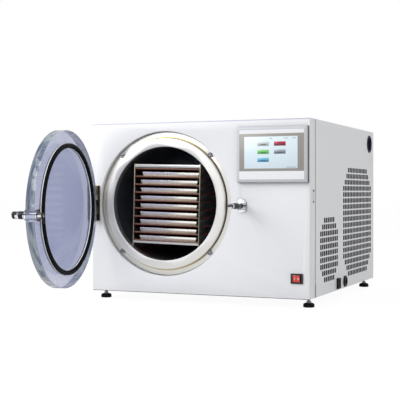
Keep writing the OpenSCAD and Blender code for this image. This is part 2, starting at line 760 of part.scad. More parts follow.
module compressor() place() color(dark) translate([pot_x, pot_y, pot_z]) {
    rotate_extrude($fn = 72) polygon([[0, 21], [52, 21], [pot_r - 8, 30], [pot_r, 46], [pot_r, 150],
                                      [pot_r - 8, 172], [52, 184], [0, 188]]);
    difference() {
        slab([-80, -66, 18], [80, 66, 21]);
        for (x = [-70, 70], y = [-56, 56]) translate([x, y, 17]) cylinder(h = 5, r = 3.2, $fn = 24);
    }
    for (x = [-70, 70], y = [-56, 56]) translate([x, y, 0]) cylinder(h = 18, r = 9, $fn = 32);
    slab([-28, -pot_r - 16, 70], [28, 8 - pot_r, 120]);
    translate([0, spigot_out, 180]) cylinder(h = spigot_top - 180, r = 6, $fn = 32);
}

module condenser_fins() place() color("gray") difference() {
    union() {
        for (k = [0:fins - 1])
            slab([fin_x0, fin_y + k * fin_pitch - 0.3, fin_z0],
                 [fin_x1, fin_y + k * fin_pitch + 0.3, fin_z1]);
        for (y = [fin_y - 6, fin_y + (fins - 1) * fin_pitch + 4.5])
            slab([fin_x0, y, z0 + sheet], [fin_x1, y + 1.5, fin_z1]);
    }
    for (k = [0:tube_rows - 1])
        translate([tube_x, fin_y - 20, tube_z0 + k * tube_pitch]) rotate([-90, 0, 0])
            cylinder(h = fins * fin_pitch + 40, r = tube_r, $fn = 16);
}

module fan_shroud() place() color(dark) difference() {
    slab([shroud_x0, fin_y - 6, fin_z0], [shroud_x1, fin_y + (fins - 1) * fin_pitch + 6, fin_z1]);
    slab([shroud_x0 + 20, fin_y - 4, fin_z0 + 2],
         [shroud_x1 + 1, fin_y + (fins - 1) * fin_pitch + 4, fin_z1 - 2]);
    difference() {
        x_cyl(fan_r + 4, shroud_x0 - 1, shroud_x0 + 21, [large_y, fan_z]);
        x_cyl(34, shroud_x0 - 2, shroud_x0 + 6, [large_y, fan_z]);
        for (q = [0, 90]) translate([shroud_x0 + 1.5, large_y, fan_z]) rotate([q, 0, 0])
            cube([3, 2 * fan_r + 12, 8], center = true);
    }
    x_cyl(3 + run_gap, shroud_x0 - 3, shroud_x0 + 10, [large_y, fan_z]);
}

module fan_rotor() place() color([0.2, 0.2, 0.22]) {
    x_cyl(3, shroud_x0, shroud_x0 + 12, [large_y, fan_z]);
    x_cyl(30, shroud_x0 + 7, shroud_x0 + 27, [large_y, fan_z]);
    for (q = [0:72:288]) translate([shroud_x0 + 18.5, large_y, fan_z]) rotate([q, 0, 0])
        translate([0, 0, 28]) rotate([0, 0, 32]) translate([-1, -22, 0]) cube([2, 44, fan_r - 34]);
}

// A copper run along hand-chosen points, with a slightly fuller joint at each corner.
module run_of_pipe(points, r) {
    for (k = [0:len(points) - 2]) {
        d = points[k + 1] - points[k];
        l = norm(d);
        translate(points[k]) rotate([0, acos(d[2] / l), atan2(d[1], d[0])])
            cylinder(h = l, r = r, $fn = 20);
    }
    for (k = [1:len(points) - 2]) translate(points[k]) sphere(r * 1.25, $fn = 20);
}

module cooling_pipes() place() color([0.72, 0.42, 0.25]) {
    for (y = [70:80:390]) translate([cx, y, cz]) rotate([-90, 0, 0])
        rotate_extrude($fn = 48) translate([coil_ring, 0]) circle(coil_r, $fn = 13);
    for (k = [0:tube_rows - 1]) translate([tube_x, fin_y - tube_end, tube_z0 + k * tube_pitch])
        rotate([-90, 0, 0]) cylinder(h = (fins - 1) * fin_pitch + 2 * tube_end, r = tube_r, $fn = 16);
    for (k = [0:tube_rows - 2])
        translate([tube_x, k % 2 == 0 ? fin_y + (fins - 1) * fin_pitch + tube_end : fin_y - tube_end,
                   tube_z0 + (k + 0.5) * tube_pitch])
            rotate([0, 90, 0]) rotate(k % 2 == 0 ? 0 : 180) half_ring(tube_pitch / 2, tube_r);
    run_of_pipe([[pot_x, pot_y + spigot_out, pot_z + spigot_top], [pot_x, pot_y + spigot_out, fin_z1 + 14],
                 [tube_x, fin_y - tube_end - 10, fin_z1 + 14],
                 [tube_x, fin_y - tube_end - 10, tube_z0 + (tube_rows - 1) * tube_pitch],
                 [tube_x, fin_y - tube_end, tube_z0 + (tube_rows - 1) * tube_pitch]], 3.2);
}

// Half a ring of round bar in the plane z = 0, bulging towards +Y.
module half_ring(ring, r) {
    rotate_extrude(angle = 180, $fn = 32) translate([ring, 0]) circle(r, $fn = 16);
}

module power_box() place() color("lightgray") difference() {
    slab([236, 58, z0 + sheet], [302, 150, z0 + 214]);
    for (k = [0:6]) slab([298, 68, z0 + 60 + k * 20], [303, 140, z0 + 66 + k * 20]);
}

// ---- door and hinge ----

function knuckle_z(k) = k * (knuckle_h + knuckle_gap) - hinge_h / 2;

// Every other knuckle from the first, each with a web to the plate that the children draw.
module knuckle_stack(first, bore, web_low, web_high) {
    difference() {
        union() {
            for (k = [first:2:knuckles - 1]) {
                on_pin() translate([0, 0, knuckle_z(k)]) cylinder(h = knuckle_h, r = knuckle_r, $fn = 48);
                translate([hinge_x, hinge_y, hinge_z + knuckle_z(k)])
                    slab(concat(web_low, 0.1), concat(web_high, knuckle_h - 0.1));
            }
            children();
        }
        on_pin() cylinder(h = hinge_h + 4, r = bore, center = true, $fn = 48);
    }
}

module hinge_leaf() place() color([0.25, 0.2, 0.16]) difference() {
    knuckle_stack(0, pin_r, [-2.5, 0], [2.5, hinge_out - leaf_t + eps])
        slab([1.5 - half_w, -leaf_t, hinge_z - hinge_h / 2], [cx - port_r - 1, 0, hinge_z + hinge_h / 2]);
    for (p = leaf_screw_places()) y_cyl(screw_hole, -leaf_t - 1, 1, p);
}

module hinge_pin() place() color("darkgoldenrod") on_pin() {
    cylinder(h = hinge_h + 3, r = pin_r, center = true, $fn = 48);
    for (s = [-1, 1]) translate([0, 0, s * (hinge_h / 2 + fit_gap + 1.35)])
        cylinder(h = 2.7, r = pin_r + 1.3, center = true, $fn = 48);
}

module hinge_strap() place() color([0.25, 0.2, 0.16]) on_door() difference() {
    knuckle_stack(1, pin_r + run_gap, [0, -2.5], [flat_x - strap_t - hinge_x + 1, 2.5])
        slab([flat_x - strap_t, door_out + 1, hinge_z - hinge_h / 2],
             [flat_x, door_in - 2, hinge_z + hinge_h / 2]);
    strap_screw_lines(screw_hole, flat_x - strap_t - 1, flat_x + 1);
}

module strap_screw_lines(r, a, b) {
    for (z = [-36, 0, 36]) x_cyl(r, a, b, [(door_in + door_out) / 2, hinge_z + z]);
}

module strap_screws() place() color([0.25, 0.2, 0.16]) on_door() {
    strap_screw_lines(screw_head, flat_x - strap_t - screw_top, flat_x - strap_t);
    strap_screw_lines(screw_shank, flat_x - strap_t - eps, flat_x + 14);
}

module door_disc() place() color("lavender", 0.6) on_door() difference() {
    turned([[0, door_out], [door_r - 1.5, door_out], [door_r, door_out + 1.5], [door_r, door_in - 1.5],
            [door_r - 1.5, door_in], [gasket_r + gasket_w / 2, door_in],
            [gasket_r + gasket_w / 2, door_in - groove_depth],
            [gasket_r - gasket_w / 2, door_in - groove_depth], [gasket_r - gasket_w / 2, door_in],
            [0, door_in]],
           [cx, door_z]);
    slab([cx - door_r - 5, door_out - 1, door_z - door_r], [flat_x, door_in + 1, door_z + door_r]);
    y_cyl(bush_r, door_out - 1, door_in + 1, [latch_x, latch_z]);
    strap_screw_lines(screw_hole, flat_x - 1, flat_x + 16);
}

module door_gasket() place() color(dark) on_door()
    turned([[gasket_r - gasket_w / 2, door_in - groove_depth],
            [gasket_r + gasket_w / 2, door_in - groove_depth],
            [gasket_r + gasket_w / 2, door_in + gasket_proud - 2], [gasket_r + 2.5, door_in + gasket_proud],
            [gasket_r - 2.5, door_in + gasket_proud],
            [gasket_r - gasket_w / 2, door_in + gasket_proud - 2]],
           [cx, door_z]);

// ---- latch and grip ----

module latch_bush() place() color("silver") on_door() difference() {
    turned([[spindle_r + run_gap, door_out - flange_t], [flange_r - flange_bevel, door_out - flange_t],
            [flange_r, door_out - flange_t + flange_bevel],
            [flange_r, door_out], [bush_r, door_out], [bush_r, door_in], [flange_r - 0.5, door_in],
            [flange_r - 0.5, door_in + washer_t], [spindle_r + run_gap, door_in + washer_t]],
           [latch_x, latch_z]);
}

module latch_knob() place() color("silver") on_door()
    turned([[0, knob_y0 - knob_l], [knob_r - 2, knob_y0 - knob_l], [knob_r - 0.8, knob_y0 - knob_l + 1.5],
            [knob_r - 0.8, knob_y0 - knob_l + 11], [knob_r - 2.8, knob_y0 - knob_l + 12],
            [knob_r - 2.8, knob_y0 - knob_l + 14],
            [knob_r, knob_y0 - knob_l + 15], [knob_r, knob_y0 - 3], [knob_r - 2, knob_y0],
            [spindle_r, knob_y0], [spindle_r, dog_y + dog_t], [0, dog_y + dog_t]],
           [latch_x, latch_z]);

module latch_dog() place() color("dimgray") on_door() difference() {
    union() {
        y_cyl(6.5, dog_y - 1, dog_y + dog_t, [latch_x, latch_z]);
        slab([latch_x - 5, dog_y, latch_z - dog_l], [latch_x + 5, dog_y + dog_t, latch_z]);
    }
    y_cyl(spindle_r, dog_y - 2, dog_y + dog_t + 1, [latch_x, latch_z]);
}

module grip_post() place() color("silver") {
    turned([[0, -post_l], [5.2, -post_l], [6.4, 1.2 - post_l], [6.4, 12 - post_l], [5, 13 - post_l],
            [5, 15 - post_l],
            [6.4, 16 - post_l], [6.4, 24 - post_l], [5.2, 24 - post_l], [5.2, -10], [10.5, -9],
            [10.5, eps - base_t], [3.8, eps - base_t], [3.8, 12], [0, 12]], [post_x, post_z]);
    // The oblong base plate, its rim stepped.
    base_plate(base_w, base_h, base_t - 1.2);
    base_plate(base_w - 3, base_h - 3, base_t);
}

module base_plate(w, h, t) {
    slab([post_x - w / 2, -t, post_z - (h - w) / 2], [post_x + w / 2, 0, post_z + (h - w) / 2]);
    for (s = [-1, 1]) y_cyl(w / 2, -t, 0, [post_x, post_z + s * (h - w) / 2]);
}

module post_sleeve() place() color(dark)
    turned([[5.2, 24 - post_l], [sleeve_r - 1, 24 - post_l], [sleeve_r, 25 - post_l], [sleeve_r, -11],
            [sleeve_r - 1, -10], [5.2, -10]],
           [post_x, post_z]);

// ---- what is drawn ----

base_tray();
front_panel();
left_panel();
right_panel();
top_cover();
rear_panel();
panel_screws();
mount_ring();
chamber_barrel();
chamber_flange();
flange_bolts();
barrel_insulation();
barrel_cradle();
rack_frame();
rack_shelves();
shelf_heaters();
panel_housing();
panel_bezel();
panel_screen();
switch_bezel();
switch_rocker();
data_port();
power_inlet();
round_socket();
vacuum_pipe();
port_grommet();
compressor();
condenser_fins();
fan_shroud();
fan_rotor();
cooling_pipes();
power_box();
hinge_leaf();
hinge_pin();
hinge_strap();
strap_screws();
door_disc();
door_gasket();
latch_bush();
latch_knob();
latch_dog();
grip_post();
post_sleeve();
for (k = [1:trays]) tray(k);
for (k = [1:4]) foot_stem(k);
for (k = [1:4]) foot_pad(k);
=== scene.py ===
"""A bench-top freeze dryer: finishes, fine parts, studio and camera around its frame."""

import math

import bmesh
import bpy
from mathutils import Matrix, Vector


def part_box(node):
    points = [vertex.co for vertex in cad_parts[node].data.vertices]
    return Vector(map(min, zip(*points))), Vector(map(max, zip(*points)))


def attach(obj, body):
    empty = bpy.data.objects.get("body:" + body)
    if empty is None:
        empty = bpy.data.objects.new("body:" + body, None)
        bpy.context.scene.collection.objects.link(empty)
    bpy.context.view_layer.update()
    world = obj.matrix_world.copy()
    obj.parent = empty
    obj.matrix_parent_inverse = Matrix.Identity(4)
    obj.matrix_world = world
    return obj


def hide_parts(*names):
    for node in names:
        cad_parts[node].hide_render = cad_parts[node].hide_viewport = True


bl_info = {
    "name": "Freeze Dryer",
    "version": (1, 0, 0),
    "blender": (4, 5, 0),
    "location": "View3D > Sidebar > Freeze Dryer",
    "description": "Makes a bench-top freeze dryer's finishes, fine parts and studio",
    "category": "Object",
}

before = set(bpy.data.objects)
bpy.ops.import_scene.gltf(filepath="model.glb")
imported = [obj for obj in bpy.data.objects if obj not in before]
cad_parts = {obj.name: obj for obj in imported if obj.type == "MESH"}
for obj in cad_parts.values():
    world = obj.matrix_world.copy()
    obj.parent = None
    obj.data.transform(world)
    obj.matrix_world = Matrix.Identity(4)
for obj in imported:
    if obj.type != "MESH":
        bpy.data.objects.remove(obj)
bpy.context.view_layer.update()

MM = 0.001
PANEL_LOW, PANEL_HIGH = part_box("front_panel")
CABINET_X = (PANEL_LOW.x + PANEL_HIGH.x) / 2
FACE_Y = PANEL_LOW.y
FLANGE_LOW, FLANGE_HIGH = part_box("chamber_flange")
CHAMBER = Vector(((FLANGE_LOW.x + FLANGE_HIGH.x) / 2, FACE_Y, (FLANGE_LOW.z + FLANGE_HIGH.z) / 2))
PIN_LOW, PIN_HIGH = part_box("hinge_pin")
HINGE = (PIN_LOW + PIN_HIGH) / 2
DOOR_OPEN = math.radians(81.5)
HINGE_LEAN = math.radians(2.2)
HINGE_SIDE = math.radians(1.6)
RACK_ROLL = math.radians(1.5)
AZIMUTH = math.radians(23.56)
FACING_FRONT = (math.radians(90), 0, 0)
FACING_RIGHT = (0, math.radians(90), 0)


def middle_of(node):
    """The middle of a frame part's box."""
    low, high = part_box(node)
    return (low + high) / 2


def at(x, y, z):
    """A point given in millimetres from the middle of the cabinet's front edge at floor level."""
    return Vector((CABINET_X + x * MM, FACE_Y + y * MM, z * MM))


# ---------------------------------------------------------------- modelling


def clear():
    """Leaves edit mode and selects nothing."""
    if bpy.context.mode != "OBJECT":
        bpy.ops.object.mode_set(mode="OBJECT")
    bpy.ops.object.select_all(action="DESELECT")


def choose(piece):
    """Selects one piece and makes it the active one."""
    clear()
    piece.select_set(True)
    bpy.context.view_layer.objects.active = piece


def settle(piece):
    """Puts a piece's place, turn and size into its mesh."""
    choose(piece)
    bpy.ops.object.transform_apply(location=True, rotation=True, scale=True)
    return piece


def round_edges(piece, width, steps=2, angle=30):
    """Rounds every edge sharper than an angle."""
    choose(piece)
    soft = piece.modifiers.new("soft edges", "BEVEL")
    soft.width = width
    soft.segments = steps
    soft.limit_method = "ANGLE"
    soft.angle_limit = math.radians(angle)
    soft.harden_normals = False
    bpy.ops.object.modifier_apply(modifier=soft.name)
    return piece


def smooth(piece, angle=35):
    """Smooth shading, broken at edges sharper than an angle."""
    choose(piece)
    bpy.ops.object.shade_smooth_by_angle(angle=math.radians(angle))
    return piece


def block(name, low, high, soft=0.0, steps=2):
    """A rectangular piece with soft edges between two corners."""
    clear()
    low, high = Vector(low), Vector(high)
    bpy.ops.mesh.primitive_cube_add(size=1, location=(low + high) / 2)
    piece = bpy.context.object
    piece.name = name
    piece.scale = high - low
    settle(piece)
    if soft:
        round_edges(piece, soft, steps)
    return smooth(piece)


def turned(name, rings, place, turn=(0, 0, 0), sides=48, hollow=False, soft=0.0):
    """A turned piece; rings are (radius, distance along the axis) in millimetres, end to end."""
    clear()
    first_r, first_h = rings[0]
    fill = "NOTHING" if hollow else "NGON"
    bpy.ops.mesh.primitive_circle_add(vertices=sides, radius=first_r * MM, fill_type=fill)
    piece = bpy.context.object
    piece.name = name
    bpy.ops.object.mode_set(mode="EDIT")
    bpy.ops.mesh.select_all(action="SELECT")
    height = first_h
    radius = first_r
    for r, h in list(rings[1:]) + ([rings[0]] if hollow else []):
        bpy.ops.mesh.extrude_region_move(TRANSFORM_OT_translate={"value": (0, 0, (h - height) * MM)})
        middle = (0, 0, (h - first_h) * MM)
        bpy.ops.transform.resize(value=(r / radius, r / radius, 1), center_override=middle)
        radius, height = r, h
    bpy.ops.mesh.select_all(action="SELECT")
    bpy.ops.mesh.remove_doubles(threshold=1e-6)
    bpy.ops.mesh.normals_make_consistent(inside=False)
    bpy.ops.object.mode_set(mode="OBJECT")
    piece.rotation_euler = turn
    offset = Vector((0, 0, first_h * MM))
    offset.rotate(piece.rotation_euler)
    piece.location = Vector(place) + offset
    settle(piece)
    if soft:
        round_edges(piece, soft)
    return smooth(piece)


def pick(piece, wanted):
    """In edit mode, selects only the faces that a test wants."""
    shape = bmesh.from_edit_mesh(piece.data)
    bpy.ops.mesh.select_all(action="DESELECT")
    for face in shape.faces:
        face.select_set(wanted(face))
    bmesh.update_edit_mesh(piece.data)


def softened(node, width=0.0, steps=2, angle=30, shade=35):
    """A merged copy of a frame part with softened edges, which stands for it."""
    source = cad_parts[node]
    choose(source)
    bpy.ops.object.duplicate(linked=False)
    piece = bpy.context.object
    piece.name = node + "_finished"
    piece.parent = None
    choose(piece)
    bpy.ops.object.mode_set(mode="EDIT")
    bpy.ops.mesh.select_all(action="SELECT")
    bpy.ops.mesh.remove_doubles(threshold=2e-6)
    bpy.ops.mesh.dissolve_limited(angle_limit=math.radians(0.6))
    bpy.ops.object.mode_set(mode="OBJECT")
    if width:
        round_edges(piece, width, steps, angle)
    smooth(piece, shade)
    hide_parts(node)
    return piece


def copy_of(piece, name):
    """A copy with its own mesh."""
    choose(piece)
    bpy.ops.object.duplicate(linked=False)
    twin = bpy.context.object
    twin.name = name
    return twin


def joined(name, pieces):
    """Several loose pieces of one kind as one piece."""
    clear()
    for piece in pieces:
        piece.select_set(True)
    bpy.context.view_layer.objects.active = pieces[0]
    bpy.ops.object.join()
    pieces[0].name = name
    return pieces[0]


def swing(piece):
    """Carries a piece made for the closed door to the open door."""
    piece.data.transform(turn_about_hinge())
    return piece


def turn_about_hinge():
    """The turn from the closed door to the open one, about the leaning hinge."""
    lean = Matrix.Rotation(-HINGE_SIDE, 4, "Y") @ Matrix.Rotation(HINGE_LEAN, 4, "X")
    turn = lean @ Matrix.Rotation(-DOOR_OPEN, 4, "Z") @ lean.inverted()
    return Matrix.Translation(HINGE) @ turn @ Matrix.Translation(-HINGE)


def done(piece, material, body, *nodes):
    """Gives a piece its material and body, and says which frame parts it stands for."""
    piece.data.materials.clear()
    piece.data.materials.append(material)
    for face in piece.data.polygons:
        face.material_index = 0
    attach(piece, body)
    if nodes:
        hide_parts(*nodes)
    return piece


def paint(material, *nodes):
    """Gives frame parts a material."""
    for node in nodes:
        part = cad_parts[node]
        part.data.materials.clear()
        part.data.materials.append(material)


# ---------------------------------------------------------------- materials


def colour(code):
    """An sRGB hex colour as the linear colour that a shader takes."""
    parts = [int(code[k : k + 2], 16) / 255 for k in (1, 3, 5)]
    return tuple(c / 12.92 if c <= 0.04045 else ((c + 0.055) / 1.055) ** 2.4 for c in parts) + (1.0,)


def per_mm(size):
    """The texture scale whose features are about this many millimetres."""
    return 1000.0 / size


def add(tree, kind, links=None, **settings):
    """Adds a node, sets it up, and fills its inputs with values or links."""
    node = tree.nodes.new(kind)
    for name, value in settings.items():
        setattr(node, name, value)
    for name, value in (links or {}).items():
        if isinstance(value, bpy.types.NodeSocket):
            tree.links.new(value, node.inputs[name])
        else:
            node.inputs[name].default_value = value
    return node


def material(name, base, roughness, metallic=0.0, ior=None, **sockets):
    """A new material with one shader, ready for its pattern."""
    made = bpy.data.materials.new(name)
    made.use_nodes = True
    tree = made.node_tree
    shader = tree.nodes["Principled BSDF"]
    shader.inputs["Base Color"].default_value = colour(base)
    shader.inputs["Roughness"].default_value = roughness
    shader.inputs["Metallic"].default_value = metallic
    if ior:
        shader.inputs["IOR"].default_value = ior
    for socket, value in sockets.items():
        shader.inputs[socket.replace("_", " ")].default_value = value
    return made, tree, shader


def grain(tree, shader, size, height, strength=0.2, stretch=(1, 1, 1), detail=2.0):
    """Fine relief whose features are a size in millimetres; stretch lengthens them along an axis."""
    where = add(tree, "ShaderNodeTexCoord")
    mapping = add(tree, "ShaderNodeMapping", {"Vector": where.outputs["Object"], "Scale": stretch})
    inputs = {"Vector": mapping.outputs[0], "Scale": per_mm(size), "Detail": detail}
    noise = add(tree, "ShaderNodeTexNoise", inputs)
    inputs = {"Height": noise.outputs["Fac"], "Strength": strength, "Distance": height * MM}
    bump = add(tree, "ShaderNodeBump", inputs)
    tree.links.new(bump.outputs["Normal"], shader.inputs["Normal"])


def vary_roughness(tree, shader, low, high, size, stretch=(1, 1, 1)):
    """Roughness that wanders between two values, as handling and wiping leave it."""
    where = add(tree, "ShaderNodeTexCoord")
    mapping = add(tree, "ShaderNodeMapping", {"Vector": where.outputs["Object"], "Scale": stretch})
    inputs = {"Vector": mapping.outputs[0], "Scale": per_mm(size), "Detail": 3.0}
    noise = add(tree, "ShaderNodeTexNoise", inputs)
    span = add(tree, "ShaderNodeMapRange", {"Value": noise.outputs["Fac"], "To Min": low, "To Max": high})
    tree.links.new(span.outputs["Result"], shader.inputs["Roughness"])


def powder_coat():
    """Polyester powder coat on steel: satin white, with a fine orange peel that softens highlights."""
    made, tree, shader = material("white_powder_coat", "#EDEEF1", 0.42, ior=1.5)
    grain(tree, shader, 1.6, 0.03, 0.12)
    vary_roughness(tree, shader, 0.38, 0.47, 60)
    return made


def turned_steel(name, base, low, high, centre, spacing=0.7):
    """Stainless steel faced on a lathe: rings of fine tool marks about the axis, which stretch highlights."""
    made, tree, shader = material(name, base, 0.3, metallic=1.0)
    where = add(tree, "ShaderNodeTexCoord")
    mapping = add(tree, "ShaderNodeMapping", {"Vector": where.outputs["Object"], "Location": -centre})
    parts = add(tree, "ShaderNodeSeparateXYZ", {"Vector": mapping.outputs[0]})
    flat = add(tree, "ShaderNodeCombineXYZ", {"X": parts.outputs["X"], "Y": parts.outputs["Z"]})
    radius = add(tree, "ShaderNodeVectorMath", {0: flat.outputs[0]}, operation="LENGTH")
    inputs = {"W": radius.outputs["Value"], "Scale": per_mm(spacing), "Detail": 3.0}
    marks = add(tree, "ShaderNodeTexNoise", inputs, noise_dimensions="1D")
    span = add(tree, "ShaderNodeMapRange", {"Value": marks.outputs["Fac"], "To Min": low, "To Max": high})
    tree.links.new(span.outputs["Result"], shader.inputs["Roughness"])
    inputs = {"Height": marks.outputs["Fac"], "Strength": 0.25, "Distance": 0.02 * MM}
    bump = add(tree, "ShaderNodeBump", inputs)
    tree.links.new(bump.outputs["Normal"], shader.inputs["Normal"])
    return made


def brushed_steel(name, base, low, high, along="Y", size=0.8):
    """Stainless sheet with a brushed grain along one axis, which pulls reflections out across it."""
    made, tree, shader = material(name, base, 0.3, metallic=1.0)
    stretch = {"X": (0.02, 1, 1), "Y": (1, 0.02, 1), "Z": (1, 1, 0.02)}[along]
    grain(tree, shader, size, 0.02, 0.2, stretch, 4.0)
    vary_roughness(tree, shader, low, high, size * 3, stretch)
    return made


def plated_steel(name="zinc_plated_steel", base="#B9BCC0"):
    """Zinc-plated fasteners: pale grey, a little dull and patchy."""
    made, tree, shader = material(name, base, 0.32, metallic=1.0)
    grain(tree, shader, 0.9, 0.02, 0.2)
    vary_roughness(tree, shader, 0.25, 0.42, 4)
    return made


def brass_with_painted_shade():
    """Drawn brass, pale gold, with painted shade: the colour turns olive brown towards the right of the
    chamber, where the bead lies in shadow.
    """
    made, tree, shader = material("brass_with_painted_shade", "#B7A36A", 0.32, metallic=1.0)
    grain(tree, shader, 0.9, 0.02, 0.2)
    where = add(tree, "ShaderNodeTexCoord")
    mapping = add(tree, "ShaderNodeMapping", {"Vector": where.outputs["Object"], "Location": -CHAMBER})
    parts = add(tree, "ShaderNodeSeparateXYZ", {"Vector": mapping.outputs[0]})
    # Painted shade: the base colour darkens from pale gold to olive brown towards the right of the chamber's
    # axis.
    inputs = {"Value": parts.outputs["X"], "From Min": 60 * MM, "From Max": 165 * MM}
    side = add(tree, "ShaderNodeMapRange", inputs)
    inputs = {0: side.outputs["Result"], 6: colour("#C2AD74"), 7: colour("#4B4536")}
    blend = add(tree, "ShaderNodeMix", inputs, data_type="RGBA")
    tree.links.new(blend.outputs[2], shader.inputs["Base Color"])
    return made


def chrome():
    """Bright chrome plate with painted reflections: light and dark streaks along its length in the base
    colour stand in for a studio mirrored in it.
    """
    made, tree, shader = material("chrome_plate", "#DCDEE2", 0.07, metallic=1.0)
    grain(tree, shader, 2.5, 0.01, 0.08)
    vary_roughness(tree, shader, 0.05, 0.12, 6)
    # Painted reflections: streaky noise along the length mixes a dark and a light base colour.
    where = add(tree, "ShaderNodeTexCoord")
    mapping = add(tree, "ShaderNodeMapping", {"Vector": where.outputs["Object"], "Scale": (0.03, 0.03, 1)})
    inputs = {"Vector": mapping.outputs[0], "Scale": per_mm(7), "Detail": 1.0}
    painted_reflection_streaks = add(tree, "ShaderNodeTexNoise", inputs)
    inputs = {"Value": painted_reflection_streaks.outputs["Fac"], "From Min": 0.38, "From Max": 0.58}
    contrast = add(tree, "ShaderNodeMapRange", inputs)
    inputs = {0: contrast.outputs["Result"], 6: colour("#4A4D53"), 7: colour("#EEF0F3")}
    shade = add(tree, "ShaderNodeMix", inputs, data_type="RGBA")
    tree.links.new(shade.outputs[2], shader.inputs["Base Color"])
    return made


def moulded(name, base, roughness, size=0.5, height=0.03, clear=0.0, gloss=0.5):
    """Moulded plastic: an even colour with a fine spark-eroded texture."""
    made, tree, shader = material(name, base, roughness, ior=1.5, Coat_Weight=clear, Specular_IOR_Level=gloss)
    grain(tree, shader, size, height, 0.25)
    vary_roughness(tree, shader, max(roughness - 0.06, 0.03), roughness + 0.06, 8)
    return made


def silicone(name="black_silicone", base="#090A0C"):
    """Silicone rubber: near black, with a soft bloom and a slightly greasy sheen."""
    made, tree, shader = material(name, base, 0.55, ior=1.43, Specular_IOR_Level=0.08)
    grain(tree, shader, 1.2, 0.04, 0.2)
    vary_roughness(tree, shader, 0.5, 0.62, 10)
    return made


def acrylic():
    """Cast acrylic: polished and clear, with a lavender cast, the faint haze of fine wiping marks, and
    painted highlights on the band outside the gasket, which is tinted nearly white in patches.
    """
    made, tree, shader = material("cast_acrylic", "#BABFDB", 0.06, ior=1.49)
    vary_roughness(tree, shader, 0.04, 0.1, 90)
    where = add(tree, "ShaderNodeTexCoord")
    inputs = {"Vector": where.outputs["Object"], "Scale": per_mm(120), "Detail": 1.0}
    clouds = add(tree, "ShaderNodeTexNoise", inputs)
    # Painted highlights: outside the gasket's radius the see-through colour turns nearly white, in patches.
    middle = middle_of("door_gasket")
    out = add(tree, "ShaderNodeVectorMath", {0: where.outputs["Object"], 1: middle}, operation="DISTANCE")
    inputs = {"Value": out.outputs["Value"], "From Min": 172 * MM, "From Max": 178 * MM}
    rim = add(tree, "ShaderNodeMapRange", inputs)
    clear_part = add(tree, "ShaderNodeBsdfTransparent")
    inputs = {0: clouds.outputs["Fac"], 6: colour("#C6CBE0"), 7: colour("#DBDEEB")}
    inner = add(tree, "ShaderNodeMix", inputs, data_type="RGBA")
    inputs = {"Vector": where.outputs["Object"], "Scale": per_mm(45), "Detail": 2.0}
    patches = add(tree, "ShaderNodeTexNoise", inputs)
    inputs = {0: patches.outputs["Fac"], 6: colour("#DCDFEE"), 7: colour("#FCFCFE")}
    outer = add(tree, "ShaderNodeMix", inputs, data_type="RGBA")
    inputs = {0: rim.outputs["Result"], 6: inner.outputs[2], 7: outer.outputs[2]}
    tint = add(tree, "ShaderNodeMix", inputs, data_type="RGBA")
    tree.links.new(tint.outputs[2], clear_part.inputs["Color"])
    both = add(tree, "ShaderNodeMixShader", {0: 0.3, 1: clear_part.outputs[0], 2: shader.outputs[0]})
    tree.links.new(both.outputs[0], tree.nodes["Material Output"].inputs["Surface"])
    return made


def acrylic_edge():
    """The disc's polished edge, with painted reflections: pale, with blue streaks painted into its colour for
    the inside mirroring itself.
    """
    name = "acrylic_edge_painted_reflections"
    made, tree, shader = material(name, "#C3CCD6", 0.12, ior=1.49, Transmission_Weight=0.25)
    # Painted reflections: streaky noise mixes a blue-grey and a pale base colour.
    where = add(tree, "ShaderNodeTexCoord")
    mapping = add(tree, "ShaderNodeMapping", {"Vector": where.outputs["Object"], "Scale": (3.2, 0.5, 0.3)})
    inputs = {"Vector": mapping.outputs[0], "Scale": per_mm(26), "Detail": 1.2}
    painted_reflection_streaks = add(tree, "ShaderNodeTexNoise", inputs)
    inputs = {"Value": painted_reflection_streaks.outputs["Fac"], "From Min": 0.36, "From Max": 0.6}
    contrast = add(tree, "ShaderNodeMapRange", inputs)
    inputs = {0: contrast.outputs["Result"], 6: colour("#44536F"), 7: colour("#939DA3")}
    shade = add(tree, "ShaderNodeMix", inputs, data_type="RGBA")
    tree.links.new(shade.outputs[2], shader.inputs["Base Color"])
    return made


def heater_mat():
    """Glass-fibre silicone heater mat: brick red with a fine woven face."""
    made, tree, shader = material("silicone_heater_mat", "#6E3326", 0.6, ior=1.43)
    where = add(tree, "ShaderNodeTexCoord")
    inputs = {"Vector": where.outputs["Object"], "Scale": per_mm(1.4) / 20, "Distortion": 1.0}
    weave = add(tree, "ShaderNodeTexWave", inputs)
    inputs = {"Height": weave.outputs["Fac"], "Strength": 0.3, "Distance": 0.1 * MM}
    bump = add(tree, "ShaderNodeBump", inputs)
    tree.links.new(bump.outputs["Normal"], shader.inputs["Normal"])
    inputs = {0: weave.outputs["Fac"], 6: colour("#6A2F22"), 7: colour("#7C3D2E")}
    blend = add(tree, "ShaderNodeMix", inputs, data_type="RGBA")
    tree.links.new(blend.outputs[2], shader.inputs["Base Color"])
    return made


def copper():
    """Drawn copper tube: salmon brown, tarnished in patches."""
    made, tree, shader = material("copper_tube", "#B26A48", 0.35, metallic=1.0)
    grain(tree, shader, 2, 0.03, 0.2)
    vary_roughness(tree, shader, 0.25, 0.5, 12)
    where = add(tree, "ShaderNodeTexCoord")
    patches = add(tree, "ShaderNodeTexNoise", {"Vector": where.outputs["Object"], "Scale": per_mm(18)})
    inputs = {0: patches.outputs["Fac"], 6: colour("#A4552F"), 7: colour("#C98862")}
    blend = add(tree, "ShaderNodeMix", inputs, data_type="RGBA")
    tree.links.new(blend.outputs[2], shader.inputs["Base Color"])
    return made


